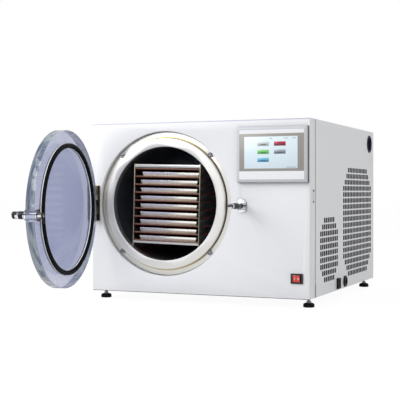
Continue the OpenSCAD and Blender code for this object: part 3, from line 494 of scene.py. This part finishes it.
def bronze(name, dark, light):
    """Oiled bronze: brown metal with paler rubbed streaks that run along the hinge."""
    made, tree, shader = material(name, dark, 0.35, metallic=1.0)
    grain(tree, shader, 1.5, 0.03, 0.2)
    where = add(tree, "ShaderNodeTexCoord")
    mapping = add(tree, "ShaderNodeMapping", {"Vector": where.outputs["Object"], "Scale": (1, 1, 0.04)})
    inputs = {"Vector": mapping.outputs[0], "Scale": per_mm(6), "Detail": 2.0}
    rubbed = add(tree, "ShaderNodeTexNoise", inputs)
    inputs = {0: rubbed.outputs["Fac"], 6: colour(dark), 7: colour(light)}
    blend = add(tree, "ShaderNodeMix", inputs, data_type="RGBA")
    tree.links.new(blend.outputs[2], shader.inputs["Base Color"])
    return made


def fin_aluminium():
    """Thin rolled aluminium fins, with painted shade: a dark grey base colour for the shade inside the
    cabinet, and dust dulling them in patches.
    """
    # Painted shade: the fins' base colour is dark grey.
    made, tree, shader = material("rolled_aluminium", "#47484B", 0.45, metallic=1.0)
    grain(tree, shader, 1.5, 0.03, 0.2, (1, 1, 0.1))
    vary_roughness(tree, shader, 0.3, 0.55, 9)
    return made


def enamel(name, base):
    """Stoved enamel on pressed steel: deep and glossy with a little orange peel."""
    made, tree, shader = material(name, base, 0.25, ior=1.5)
    grain(tree, shader, 3, 0.05, 0.15)
    vary_roughness(tree, shader, 0.2, 0.4, 25)
    return made


def foam():
    """Closed-cell rubber foam: matt black, finely pitted."""
    made, tree, shader = material("closed_cell_foam", "#1C1C1D", 0.85, ior=1.45)
    grain(tree, shader, 1.1, 0.3, 0.6)
    return made


def lit_face(name, top, bottom, span, roughness, glow):
    """Part of a lit display: one colour at the top, another below, and a little light of its own."""
    made, tree, shader = material(name, top, roughness, ior=1.5, Emission_Strength=glow)
    where = add(tree, "ShaderNodeTexCoord")
    parts = add(tree, "ShaderNodeSeparateXYZ", {"Vector": where.outputs["Object"]})
    inputs = {"Value": parts.outputs["Z"], "From Min": span[0], "From Max": span[1]}
    height = add(tree, "ShaderNodeMapRange", inputs)
    inputs = {0: height.outputs["Result"], 6: colour(bottom), 7: colour(top)}
    shade = add(tree, "ShaderNodeMix", inputs, data_type="RGBA")
    tree.links.new(shade.outputs[2], shader.inputs["Base Color"])
    tree.links.new(shade.outputs[2], shader.inputs["Emission Color"])
    return made


def seen_white(tree):
    """One where a ray comes from the camera, through something clear, or off something shiny."""
    ray = add(tree, "ShaderNodeLightPath")
    inputs = {0: ray.outputs["Is Camera Ray"], 1: ray.outputs["Is Transmission Ray"]}
    seen = add(tree, "ShaderNodeMath", inputs, operation="MAXIMUM")
    inputs = {0: seen.outputs[0], 1: ray.outputs["Is Glossy Ray"]}
    return add(tree, "ShaderNodeMath", inputs, operation="MAXIMUM").outputs[0]


# ---------------------------------------------------------------- settings


class DryerSettings(bpy.types.PropertyGroup):
    """Sizes and angles that a user of the freeze dryer may change."""

    edge: bpy.props.FloatProperty(
        name="Sheet edge", description="Radius of the sheet metal's edges", default=0.5 * MM, unit="LENGTH"
    )
    shelf_pitch: bpy.props.FloatProperty(
        name="Shelf pitch", description="Distance from shelf to shelf", default=22.4 * MM, unit="LENGTH"
    )
    top_shelf: bpy.props.FloatProperty(
        name="Top shelf", description="Height of the top shelf over the axis", default=98 * MM, unit="LENGTH"
    )
    rack_roll: bpy.props.FloatProperty(
        name="Rack roll", description="Roll of the rack in the barrel", default=RACK_ROLL, subtype="ANGLE"
    )
    tray_height: bpy.props.FloatProperty(
        name="Tray height", description="Height of a tray's wall", default=11.5 * MM, unit="LENGTH"
    )


class StudioSettings(bpy.types.PropertyGroup):
    """The studio's light and camera."""

    key: bpy.props.FloatProperty(
        name="Key light", description="Power of the soft light at the upper left", default=26.0, unit="POWER"
    )
    fill: bpy.props.FloatProperty(
        name="World light", description="Strength of the even light from all round", default=0.54
    )
    lens: bpy.props.FloatProperty(
        name="Lens", description="Focal length on a 36 mm sensor", default=86.54, unit="CAMERA"
    )
    azimuth: bpy.props.FloatProperty(
        name="Azimuth", description="How far the camera stands to the right", default=AZIMUTH, subtype="ANGLE"
    )


def settings():
    """The dryer's own settings."""
    return bpy.context.scene.freeze_dryer


# ---------------------------------------------------------------- operators


class DRYER_OT_stage(bpy.types.Operator):
    """Makes the floor, the world, the lights and the camera"""

    bl_idname = "dryer.stage"
    bl_label = "Studio"

    def execute(self, context):
        studio = context.scene.freeze_dryer_studio
        context.scene.view_settings.view_transform = "Standard"
        self.make_world(context.scene, studio.fill)
        self.make_floor()
        self.make_light("key_light", at(-1300, -1400, 1300), at(-250, 0, 350), 1.5, studio.key)
        self.make_light("front_light", at(20, -560, 1150), at(0, 0, 420), 0.9, studio.key * 0.055)
        self.make_light("side_light", at(2300, -300, 1300), at(300, 300, 250), 1.4, studio.key * 0.2)
        self.make_light("top_light", at(-200, 400, 2600), at(0, 300, 250), 2.2, studio.key * 0.16)
        self.make_light("back_light", at(-600, 2600, 1500), at(0, 600, 250), 1.8, studio.key * 0.16)
        self.make_camera(context.scene, studio)
        return {"FINISHED"}

    def make_world(self, scene, fill):
        world = bpy.data.worlds.new("studio_world")
        scene.world = world
        world.use_nodes = True
        tree = world.node_tree
        tree.nodes.clear()
        strength = add(tree, "ShaderNodeMath", {0: seen_white(tree), 1: fill}, operation="MAXIMUM")
        glow = add(tree, "ShaderNodeBackground", {"Strength": strength.outputs[0]})
        add(tree, "ShaderNodeOutputWorld", {"Surface": glow.outputs[0]})
        glow.inputs["Color"].default_value = (1, 1, 1, 1)

    def make_floor(self):
        clear()
        bpy.ops.mesh.primitive_plane_add(size=40, location=(0, 0, 0))
        floor = bpy.context.object
        floor.name = "studio_floor"
        settle(floor)
        made, tree, shader = material("studio_paper", "#D9D9D9", 0.9)
        white_share, white_strength = 0.9, 1.055
        share = add(tree, "ShaderNodeMath", {0: seen_white(tree), 1: white_share}, operation="MULTIPLY")
        white = add(tree, "ShaderNodeEmission", {"Strength": white_strength})
        inputs = {0: share.outputs[0], 1: shader.outputs[0], 2: white.outputs[0]}
        both = add(tree, "ShaderNodeMixShader", inputs)
        tree.links.new(both.outputs[0], tree.nodes["Material Output"].inputs["Surface"])
        floor.data.materials.append(made)

    def make_light(self, name, place, target, size, power):
        clear()
        bpy.ops.object.light_add(type="AREA", location=place)
        lamp = bpy.context.object
        lamp.name = name
        lamp.data.shape = "DISK"
        lamp.data.size = size
        lamp.data.energy = power
        lamp.rotation_euler = (Vector(target) - Vector(place)).to_track_quat("-Z", "Y").to_euler()

    def make_camera(self, scene, studio):
        clear()
        bpy.ops.object.camera_add(location=at(1059.5, -2402.5, 307.2))
        camera = bpy.context.object
        camera.name = "studio_camera"
        camera.rotation_euler = (math.radians(90), 0, studio.azimuth)
        camera.data.sensor_width = 36
        camera.data.lens = studio.lens
        camera.data.shift_y = -0.022
        scene.camera = camera


class DRYER_OT_cabinet(bpy.types.Operator):
    """Finishes the cabinet's sheets, base and screws"""

    bl_idname = "dryer.cabinet"
    bl_label = "Cabinet"

    def execute(self, context):
        coat = powder_coat()
        edge = settings().edge
        for node in ("front_panel", "left_panel", "top_cover", "rear_panel", "base_tray"):
            done(softened(node, edge, 2, 40), coat, "cabinet")
        self.right_side(coat)
        paint(plated_steel(), "panel_screws")
        # Painted shade: a dark grey strip along the foot of the front panel stands in for its shaded bottom
        # fold.
        base_shade = block("base_shade_strip", at(-322, 0.9, 24.4), at(322, 3.6, 25.99), 0.4 * MM)
        done(base_shade, silicone("grey_painted_base_shade", "#5A5A57"), "cabinet")
        lip = block("cover_lip", at(-324.4, -0.15, 495.6), at(324.4, 0.8, 497.9), 0.1 * MM)
        done(lip, moulded("lilac_grey_edging", "#C6C6DA", 0.5), "cabinet")
        return {"FINISHED"}

    def right_side(self, coat):
        """The right panel, painted shade on the walls of its punched holes, and the painted shade strips in
        its front seam.
        """
        panel = done(softened("right_panel"), coat, "cabinet")
        # Painted shade: the walls of the punched holes get a dark coat of their own.
        panel.data.materials.append(enamel("shaded_punched_edge", "#4C4D50"))
        low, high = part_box("right_panel")
        rim = 5 * MM
        for face in panel.data.polygons:
            y, z = face.center.yz
            inside = low.y + rim < y < high.y - rim and low.z + rim < z < high.z - rim
            if inside and abs(face.normal.x) < 0.3:
                face.material_index = 1
        # Painted shade: dark strips in the seam behind the front panel's return, black towards the floor.
        strip = block("seam_shade_strip", at(322.2, 42.9, 62), at(325.15, 45.8, 497.5), 0.1 * MM)
        done(strip, silicone("brown_grey_painted_seam_shade", "#4E4A45"), "cabinet")
        gap = block("seam_gap_shade_end", at(322.2, 41.9, 26.5), at(325.15, 47.2, 62), 0.1 * MM)
        done(gap, silicone("black_painted_seam_gap", "#1B1A19"), "cabinet")


class DRYER_OT_chamber(bpy.types.Operator):
    """Finishes the chamber's flange, barrel and bolts"""

    bl_idname = "dryer.chamber"
    bl_label = "Chamber"

    def execute(self, context):
        faced = turned_steel("lathe_faced_stainless", "#D8D7D3", 0.36, 0.5, CHAMBER)
        done(softened("chamber_flange", 0.4 * MM, 2, 40, 30), faced, "cabinet")
        done(self.ring("face_bead", 183.1, 185.9, 10.2, 12.1), brass_with_painted_shade(), "cabinet")
        dark = turned_steel("dark_polished_stainless", "#A3A8B4", 0.3, 0.42, CHAMBER, 2.0)
        done(softened("chamber_barrel", 0.0), dark, "cabinet")
        paint(brushed_steel("stainless_plate", "#BFC0BF", 0.3, 0.45, "Z"), "mount_ring")
        dull = plated_steel("dull_plated_steel", "#85878C")
        done(softened("flange_bolts", 0.4 * MM, 2, 40), dull, "cabinet")
        paint(foam(), "barrel_insulation")
        paint(plated_steel(), "barrel_cradle")
        return {"FINISHED"}

    def ring(self, name, inner, outer, front, back):
        """A rounded bead about the chamber's axis, between two radii and two depths."""
        rings = ((inner, -back), (outer, -back), (outer, -front), (inner, -front))
        return turned(name, rings, CHAMBER, FACING_FRONT, 96, True, 0.3 * MM)


class DRYER_OT_rack(bpy.types.Operator):
    """Finishes the rack, its shelves and its heater mats"""

    bl_idname = "dryer.rack"
    bl_label = "Rack"

    def execute(self, context):
        sheet = brushed_steel("brushed_stainless_sheet", "#D3D2CE", 0.22, 0.38, "Y")
        done(softened("rack_frame", 0.3 * MM, 2, 40), sheet, "cabinet")
        dull = brushed_steel("heat_tinted_stainless", "#84766A", 0.35, 0.5, "Y")
        done(softened("rack_shelves", 0.3 * MM, 2, 40), dull, "cabinet")
        paint(heater_mat(), "shelf_heaters")
        post = brushed_steel("bronzed_post_edge", "#9A8E74", 0.3, 0.45, "Z")
        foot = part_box("rack_frame")[0].z - CHAMBER.z
        shelves = round((settings().top_shelf - foot) / settings().shelf_pitch)
        for side, name in ((-1, "left"), (1, "right")):
            ends = (-1.0 * MM, 0, -122 * MM), (1.0 * MM, 0.6 * MM, 111 * MM)
            edge = block(f"post_edge_{name}", *ends, 0.2 * MM)
            done(self.seat(edge, side * 100.75 * MM), post, "cabinet")
        rivets, tabs = [], []
        outside = 101.7 * MM
        for k in range(shelves):
            up = settings().top_shelf - k * settings().shelf_pitch
            for depth in (12, 27):
                place = (outside, depth * MM, up - 9 * MM)
                stud = turned("stud", ((0.4, 1.0), (1.2, 0.8), (1.9, 0)), place, FACING_RIGHT, 16)
                rivets.append(self.seat(stud))
            low_end = (outside, 34 * MM, up - 3.4 * MM)
            high_end = (outside + 0.6 * MM, 112 * MM, up - 1.6 * MM)
            tabs.append(self.seat(block("tab", low_end, high_end, 0.2 * MM)))
        done(joined("side_rivets", rivets), plated_steel(), "cabinet")
        done(joined("heater_tabs", tabs), silicone("red_silicone_tab", "#A8472F"), "cabinet")
        return {"FINISHED"}

    def seat(self, piece, aside=0):
        """Moves a piece made about the rack's own axis into the barrel, with the rack's roll."""
        roll = Matrix.Rotation(settings().rack_roll, 4, "Y")
        front = Vector((CHAMBER.x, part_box("rack_frame")[0].y - 0.6 * MM, CHAMBER.z))
        piece.data.transform(Matrix.Translation(front) @ roll @ Matrix.Translation((aside, 0, 0)))
        return piece


class DRYER_OT_trays(bpy.types.Operator):
    """Models one thin tray with a rolled rim and lays a copy on each shelf"""

    bl_idname = "dryer.trays"
    bl_label = "Trays"

    def execute(self, context):
        sheet = brushed_steel("satin_stainless_tray", "#FDFBF6", 0.22, 0.32, "X", 0.6)
        count = sum(1 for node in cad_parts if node.startswith("tray_"))
        low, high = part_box("tray_2")
        model = self.make_tray(high.y - low.y)
        roll = settings().rack_roll
        for k in range(1, count + 1):
            tray = copy_of(model, f"rimmed_tray_{k}")
            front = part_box(f"tray_{k}")[0].y
            up = settings().top_shelf - k * settings().shelf_pitch
            aside = (5.0 if k == 1 else 0.8) * MM
            tray.rotation_euler = (0, roll, 0)
            tray.location = (
                CHAMBER.x + aside * math.cos(roll) + up * math.sin(roll),
                front,
                CHAMBER.z - aside * math.sin(roll) + up * math.cos(roll),
            )
            settle(tray)
            done(tray, sheet, "cabinet", f"tray_{k}")
        bpy.data.objects.remove(model)
        return {"FINISHED"}

    def make_tray(self, depth):
        """A tray standing on the origin: leaning walls, rounded corners and a rolled rim."""
        half, slope, height, sheet = 87.95 * MM, 3 * MM, settings().tray_height, 1.0 * MM
        clear()
        bpy.ops.mesh.primitive_cube_add(size=1, location=(0, depth / 2, height / 2))
        tray = bpy.context.object
        tray.scale = (2 * half, depth, height)
        settle(tray)
        bpy.ops.object.mode_set(mode="EDIT")
        pick(tray, lambda f: f.normal.z < -0.9)
        shrink = ((half - slope) / half, 1 - 4 * MM / depth, 1)
        bpy.ops.transform.resize(value=shrink, center_override=(0, depth / 2, 0))
        pick(tray, lambda f: f.normal.z > 0.9)
        bpy.ops.mesh.inset(thickness=2.6 * MM, depth=0)
        bpy.ops.mesh.extrude_region_move(TRANSFORM_OT_translate={"value": (0, 0, sheet - height)})
        bpy.ops.transform.resize(value=shrink, center_override=(0, depth / 2, sheet))
        bpy.ops.object.mode_set(mode="OBJECT")
        round_edges(tray, 0.8 * MM, 3, 20)
        return smooth(tray, 50)


class DRYER_OT_door(bpy.types.Operator):
    """Finishes the clear door, its gasket and its hinge"""

    bl_idname = "dryer.door"
    bl_label = "Door"

    def execute(self, context):
        disc = done(softened("door_disc", 0.0, shade=25), acrylic(), "door")
        disc.data.materials.append(acrylic_edge())
        axis = turn_about_hinge().to_3x3() @ Vector((0, 1, 0))
        centre, latch = middle_of("door_gasket"), middle_of("latch_bush")
        edge_r, bush_r = 195 * MM, 24 * MM
        for face in disc.data.polygons:
            out = face.center - centre
            out -= axis * out.dot(axis)
            beside = face.center - latch
            beside -= axis * beside.dot(axis)
            if out.length > edge_r and abs(face.normal.dot(axis)) < 0.6 and beside.length > bush_r:
                face.material_index = 1
        disc.visible_shadow = False
        done(softened("door_gasket", 0.5 * MM, 3, 20), silicone(), "door")
        # Painted highlights: two pure white rings in the gasket's groove stand in for its edges catching the
        # light.
        bright = moulded("white_groove_highlight", "#FFFFFF", 0.1)
        for name, inner in (("groove_highlight_outer", 173.05), ("groove_highlight_inner", 159.8)):
            outer = inner + 1.15
            rings = ((inner, 6.6), (outer, 6.6), (outer, 8.3), (inner, 8.3))
            lip = turned(name, rings, CHAMBER, FACING_FRONT, 96, True)
            done(swing(lip), bright, "door")
        dark = bronze("blackened_bronze", "#2E2B29", "#6B6660")
        # Painted highlight: the faces round the hinge axis take a pale bronze, partly the knuckles' own paler
        # colour and partly a highlight along the barrel.
        knuckle_highlight = bronze("pale_bronze_knuckle_highlight", "#8E8270", "#CDC1AC")
        barrel_r = 6.5 * MM
        for node, body in (("hinge_leaf", "cabinet"), ("hinge_strap", "door")):
            plate = done(softened(node, 0.4 * MM), dark, body)
            plate.data.materials.append(knuckle_highlight)
            for face in plate.data.polygons:
                if (face.center - HINGE).xy.length < barrel_r:
                    face.material_index = 1
        done(softened("hinge_pin", 0.4 * MM), dark, "cabinet")
        paint(plated_steel(), "strap_screws")
        return {"FINISHED"}


class DRYER_OT_latch(bpy.types.Operator):
    """Finishes the turning latch on the door and the grip post beside the chamber"""

    bl_idname = "dryer.latch"
    bl_label = "Latch and grip"
    grip = (134.5, 0, 268)
    knob = (93.5, 0, 273)

    def execute(self, context):
        bright = chrome()
        black = moulded("black_nylon", "#0B0C0E", 0.3, gloss=0.3)
        done(softened("latch_bush", 0.4 * MM, shade=40), bright, "door")
        done(softened("latch_knob", 0.3 * MM, shade=40), bright, "latch")
        done(softened("latch_dog", 0.5 * MM), plated_steel("blacked_spring_steel", "#2A2B2F"), "latch")
        post = done(softened("grip_post", 0.3 * MM, shade=45), bright, "cabinet")
        # Painted shade: the side walls of the grip's base plate, by the panel, get a dark plated colour.
        post.data.materials.append(plated_steel("plated_edge_painted_shade", "#5E6166"))
        for face in post.data.polygons:
            if face.center.y > FACE_Y - 4.2 * MM and abs(face.normal.y) < 0.8:
                face.material_index = 1
        rubber = moulded("black_gloss_nylon", "#08090A", 0.25, gloss=0.3)
        bands = [self.ribbed_band(10, 31.5, 7.8), self.ribbed_band(33.5, 59.5, 7.8)]
        bands += [self.ribbed_band(60, 71.2, 6.8), self.collar(79, 85.3, 6.3, 6.65)]
        done(joined("ribbed_sleeves", bands), rubber, "cabinet", "post_sleeve")
        collars = [self.collar(31.7, 33.3, 5.4, 7.5), self.collar(71.4, 78.8, 5.4, 6.6)]
        done(joined("grip_collars", collars), moulded("white_nylon_collar", "#E9EBEE", 0.3), "cabinet")
        for name, rings in (
            ("knob_body_band", ((9.0, 57.5), (10.05, 56.8), (10.05, 44.7), (9.0, 44.0))),
            ("knob_cap_band", ((8.4, 73.5), (9.3, 73.0), (9.3, 66.0), (8.4, 65.5))),
        ):
            band = turned(name, rings, at(*self.knob), FACING_FRONT, 48, True, 0.2 * MM)
            done(swing(band), black, "latch")
        return {"FINISHED"}

    def collar(self, start, end, inner, outer):
        """A smooth ring round the grip post."""
        rings = ((inner, start), (outer, start), (outer, end), (inner, end))
        return turned("collar", rings, at(*self.grip), FACING_FRONT, 48, True)

    def ribbed_band(self, start, end, crest):
        """One sleeve of the grip, turned with narrow ribs whose crests have a given radius."""
        valley = crest - 0.9
        rings = [(5.3, start), (valley - 0.3, start)]
        ribs = max(1, round((end - start) / 4.7))
        pitch = (end - start) / ribs
        for k in range(ribs):
            foot = start + pitch * k
            rings += [(valley, foot + 0.1), (crest, foot + 0.8)]
            rings += [(crest, foot + pitch - 0.8), (valley, foot + pitch - 0.1)]
        rings += [(valley - 0.3, end), (5.3, end)]
        return turned("ribbed_band", rings, at(*self.grip), FACING_FRONT, 48, True)


class DRYER_OT_touch_panel(bpy.types.Operator):
    """Models the touch panel's face, display and buttons"""

    bl_idname = "dryer.touch_panel"
    bl_label = "Touch panel"

    def execute(self, context):
        frame_grey = moulded("grey_abs", "#C9CCD1", 0.38)
        done(softened("panel_bezel", 1.2 * MM, 4, 20, 50), frame_grey, "cabinet")
        paint(moulded("black_abs", "#15161A", 0.5), "panel_housing")
        paint(moulded("white_polyester_overlay", "#F0F2F5", 0.3), "panel_screen")
        low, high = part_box("panel_screen")
        mid = Vector(((low.x + high.x) / 2 + 1.3 * MM, low.y, (low.z + high.z) / 2))
        # Painted shade: a dark band round the frame's back edge.
        self.make_shade_band(silicone("grey_painted_bezel_shade", "#4A4C52"))
        grey = moulded("grey_overlay", "#9B9792", 0.35)
        self.plate("overlay_grey_field", mid, (-91, -44, 88.5, 55), 0.15, grey)
        glass = lit_face("lit_display", "#D2E0E6", "#C2D0DA", (low.z, high.z), 0.3, 0.25)
        self.plate("display_glass", mid, (-77, -37, 71, 47), 0.3, glass)
        line = moulded("display_print", "#6F8496", 0.3)
        for k, (left, right, level) in enumerate(((-6, 2, 42), (34, 46, 42), (56, 67, 42), (40, 67, -34))):
            self.plate(f"display_line_{k + 1}", mid, (left, level - 0.7, right, level + 0.7), 0.42, line)
        looks = {
            "display_key_grey": ((0, 0), "#D5DADC", "#8F979C"),
            "display_key_red": ((1, 0), "#C2204A", "#6A0A22"),
            "display_key_green": ((0, 1), "#8AD57F", "#2E9A35"),
            "display_key_slate": ((1, 1), "#A5AFB6", "#49545D"),
            "display_key_blue": ((0, 2), "#7CC3DD", "#1D76A3"),
        }
        label = moulded("key_print", "#3A4148", 0.3)
        first_left, first_top = -39.8, 33.5
        key_w, key_h = 32.3, 11.2
        key_step, row_step = 46.2, 21.1
        for name, ((column, row), light, deep) in looks.items():
            left = first_left + key_step * column
            top = first_top - row_step * row
            span = (mid.z + (top - key_h) * MM, mid.z + top * MM)
            face = lit_face(name + "_pixels", light, deep, span, 0.2, 0.12)
            self.plate(name, mid, (left, top - key_h, left + key_w, top), 0.42, face)
            self.plate(name + "_label", mid, (left + 8, top - 8.0, left + 25, top - 6.2), 0.5, label)
        return {"FINISHED"}

    def make_shade_band(self, rubber):
        """A dark grey seal round the back edge of the panel's frame, carried forward over the frame's side
        walls as painted shade.
        """
        low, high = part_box("panel_bezel")
        out, thick = 0.5 * MM, 7.5 * MM
        left, right = (low.x - out, low.x + 1 * MM), (high.x - 1 * MM, high.x + out)
        bottom, top = (low.z - out, low.z + 1 * MM), (high.z - 1 * MM, high.z + out)
        spans = [((left[0], right[1]), bottom), ((left[0], right[1]), top)]
        spans += [(left, (low.z, high.z)), (right, (low.z, high.z))]
        front, back = high.y - thick, high.y - 0.02 * MM
        bars = [block("shade_bar", (x[0], front, z[0]), (x[1], back, z[1])) for x, z in spans]
        done(joined("bezel_shade_band", bars), rubber, "cabinet")

    def plate(self, name, mid, area, proud, made):
        """A thin plate on the panel's face; area is left, bottom, right and top in millimetres."""
        left, bottom, right, top = area
        low = mid + Vector((left * MM, -proud * MM, bottom * MM))
        high = mid + Vector((right * MM, 0.3 * MM, top * MM))
        return done(block(name, low, high, 0.12 * MM), made, "cabinet")


class DRYER_OT_switch(bpy.types.Operator):
    """Finishes the rocker switch"""

    bl_idname = "dryer.switch"
    bl_label = "Power switch"

    def execute(self, context):
        done(softened("switch_bezel", 0.5 * MM), moulded("black_polyamide", "#0E0F11", 0.35), "cabinet")
        red = moulded("red_polycarbonate", "#D8281C", 0.18, clear=0.5)
        done(softened("switch_rocker", 0.4 * MM), red, "rocker")
        self.marks()
        return {"FINISHED"}

    def marks(self):
        """A bar and a ring printed on the two halves of the tipped rocker, which turns about its pin."""
        print_white = moulded("white_switch_print", "#F2F2F0", 0.3)
        pin = at(288, 4, 78.5)
        tip = Matrix.Translation(pin) @ Matrix.Rotation(math.radians(-8), 4, "Z")
        slope = math.atan2(2, 10)
        bar = block("on_bar", (-0.5 * MM, -0.12 * MM, -3 * MM), (0.5 * MM, 0.1 * MM, 3 * MM))
        rings = ((1.7, -0.1), (2.6, -0.1), (2.6, 0.12), (1.7, 0.12))
        ring = turned("off_ring", rings, (0, 0, 0), FACING_FRONT, 24, True)
        for piece, side in ((bar, -1), (ring, 1)):
            onto = Matrix.Translation((side * 5.2 * MM, -6.54 * MM, 0))
            piece.data.transform(tip @ onto @ Matrix.Rotation(-side * slope, 4, "Z"))
            done(piece, print_white, "rocker")


class DRYER_OT_ports(bpy.types.Operator):
    """Finishes the sockets and ports on the right side"""

    bl_idname = "dryer.ports"
    bl_label = "Ports"

    def execute(self, context):
        black = moulded("black_thermoplastic", "#0A0A0C", 0.45, gloss=0.2)
        done(softened("power_inlet", 0.5 * MM), black, "cabinet")
        done(softened("round_socket", 0.5 * MM), black, "cabinet")
        rubber = silicone("violet_black_rubber", "#2F2D58")
        done(softened("port_grommet", 0.7 * MM, 3), rubber, "cabinet")
        pale = moulded("pale_grey_nylon", "#DDDEE1", 0.4)
        done(softened("data_port", 0.3 * MM), pale, "cabinet")
        head = enamel("blacked_steel_screw", "#1C1D20")
        for k, z in ((1, 14.4), (2, -14.4)):
            rings = ((3.0, 0.8), (3.2, 1.2), (2.9, 2.0), (1.3, 2.3), (1.2, 1.7), (0.4, 1.7))
            screw = turned(f"port_screw_{k}", rings, at(325, 24.5, 294 + z), FACING_RIGHT, 24)
            done(screw, head, "cabinet")
        tube = turned_steel("port_tube_stainless", "#6E7074", 0.25, 0.4, at(0, 636, 457.5))
        paint(tube, "vacuum_pipe")
        return {"FINISHED"}


class DRYER_OT_works(bpy.types.Operator):
    """Finishes what shows through the grilles"""

    bl_idname = "dryer.works"
    bl_label = "Works behind the grilles"

    def execute(self, context):
        done(softened("compressor", 0.0), enamel("black_enamel", "#101114"), "cabinet")
        paint(copper(), "cooling_pipes")
        paint(fin_aluminium(), "condenser_fins")
        paint(enamel("black_stoved_sheet", "#17181A"), "fan_shroud")
        paint(moulded("black_fan_nylon", "#1D1E20", 0.45), "fan_rotor")
        paint(plated_steel(), "power_box")
        return {"FINISHED"}


class DRYER_OT_feet(bpy.types.Operator):
    """Finishes the levelling feet"""

    bl_idname = "dryer.feet"
    bl_label = "Feet"

    def execute(self, context):
        rubber = silicone("black_rubber", "#151618")
        steel = plated_steel("threaded_plated_steel", "#77787C")
        for k in range(1, 5):
            done(softened(f"foot_pad_{k}", 0.6 * MM, 3), rubber, f"foot_{k}")
            done(softened(f"foot_stem_{k}", 0.3 * MM), steel, f"foot_{k}")
        return {"FINISHED"}


OPERATORS = (
    DRYER_OT_stage,
    DRYER_OT_cabinet,
    DRYER_OT_chamber,
    DRYER_OT_rack,
    DRYER_OT_trays,
    DRYER_OT_door,
    DRYER_OT_latch,
    DRYER_OT_touch_panel,
    DRYER_OT_switch,
    DRYER_OT_ports,
    DRYER_OT_works,
    DRYER_OT_feet,
)


class DRYER_PT_panel(bpy.types.Panel):
    """Lists the freeze dryer's pieces and settings"""

    bl_idname = "DRYER_PT_panel"
    bl_label = "Freeze Dryer"
    bl_space_type = "VIEW_3D"
    bl_region_type = "UI"
    bl_category = "Freeze Dryer"

    def draw(self, context):
        for group in (context.scene.freeze_dryer, context.scene.freeze_dryer_studio):
            for name in group.__annotations__:
                self.layout.prop(group, name)
        for operator in OPERATORS:
            self.layout.operator(operator.bl_idname)


CLASSES = (DryerSettings, StudioSettings) + OPERATORS + (DRYER_PT_panel,)


def register():
    """Registers the classes and the scene's settings."""
    for item in CLASSES:
        bpy.utils.register_class(item)
    bpy.types.Scene.freeze_dryer = bpy.props.PointerProperty(type=DryerSettings)
    bpy.types.Scene.freeze_dryer_studio = bpy.props.PointerProperty(type=StudioSettings)


def unregister():
    """Removes the settings and the classes."""
    del bpy.types.Scene.freeze_dryer_studio
    del bpy.types.Scene.freeze_dryer
    for item in reversed(CLASSES):
        bpy.utils.unregister_class(item)


def main():
    """Makes everything, in order."""
    register()
    for operator in OPERATORS:
        group, name = operator.bl_idname.split(".")
        getattr(getattr(bpy.ops, group), name)()
    clear()


if __name__ == "__main__":
    main()
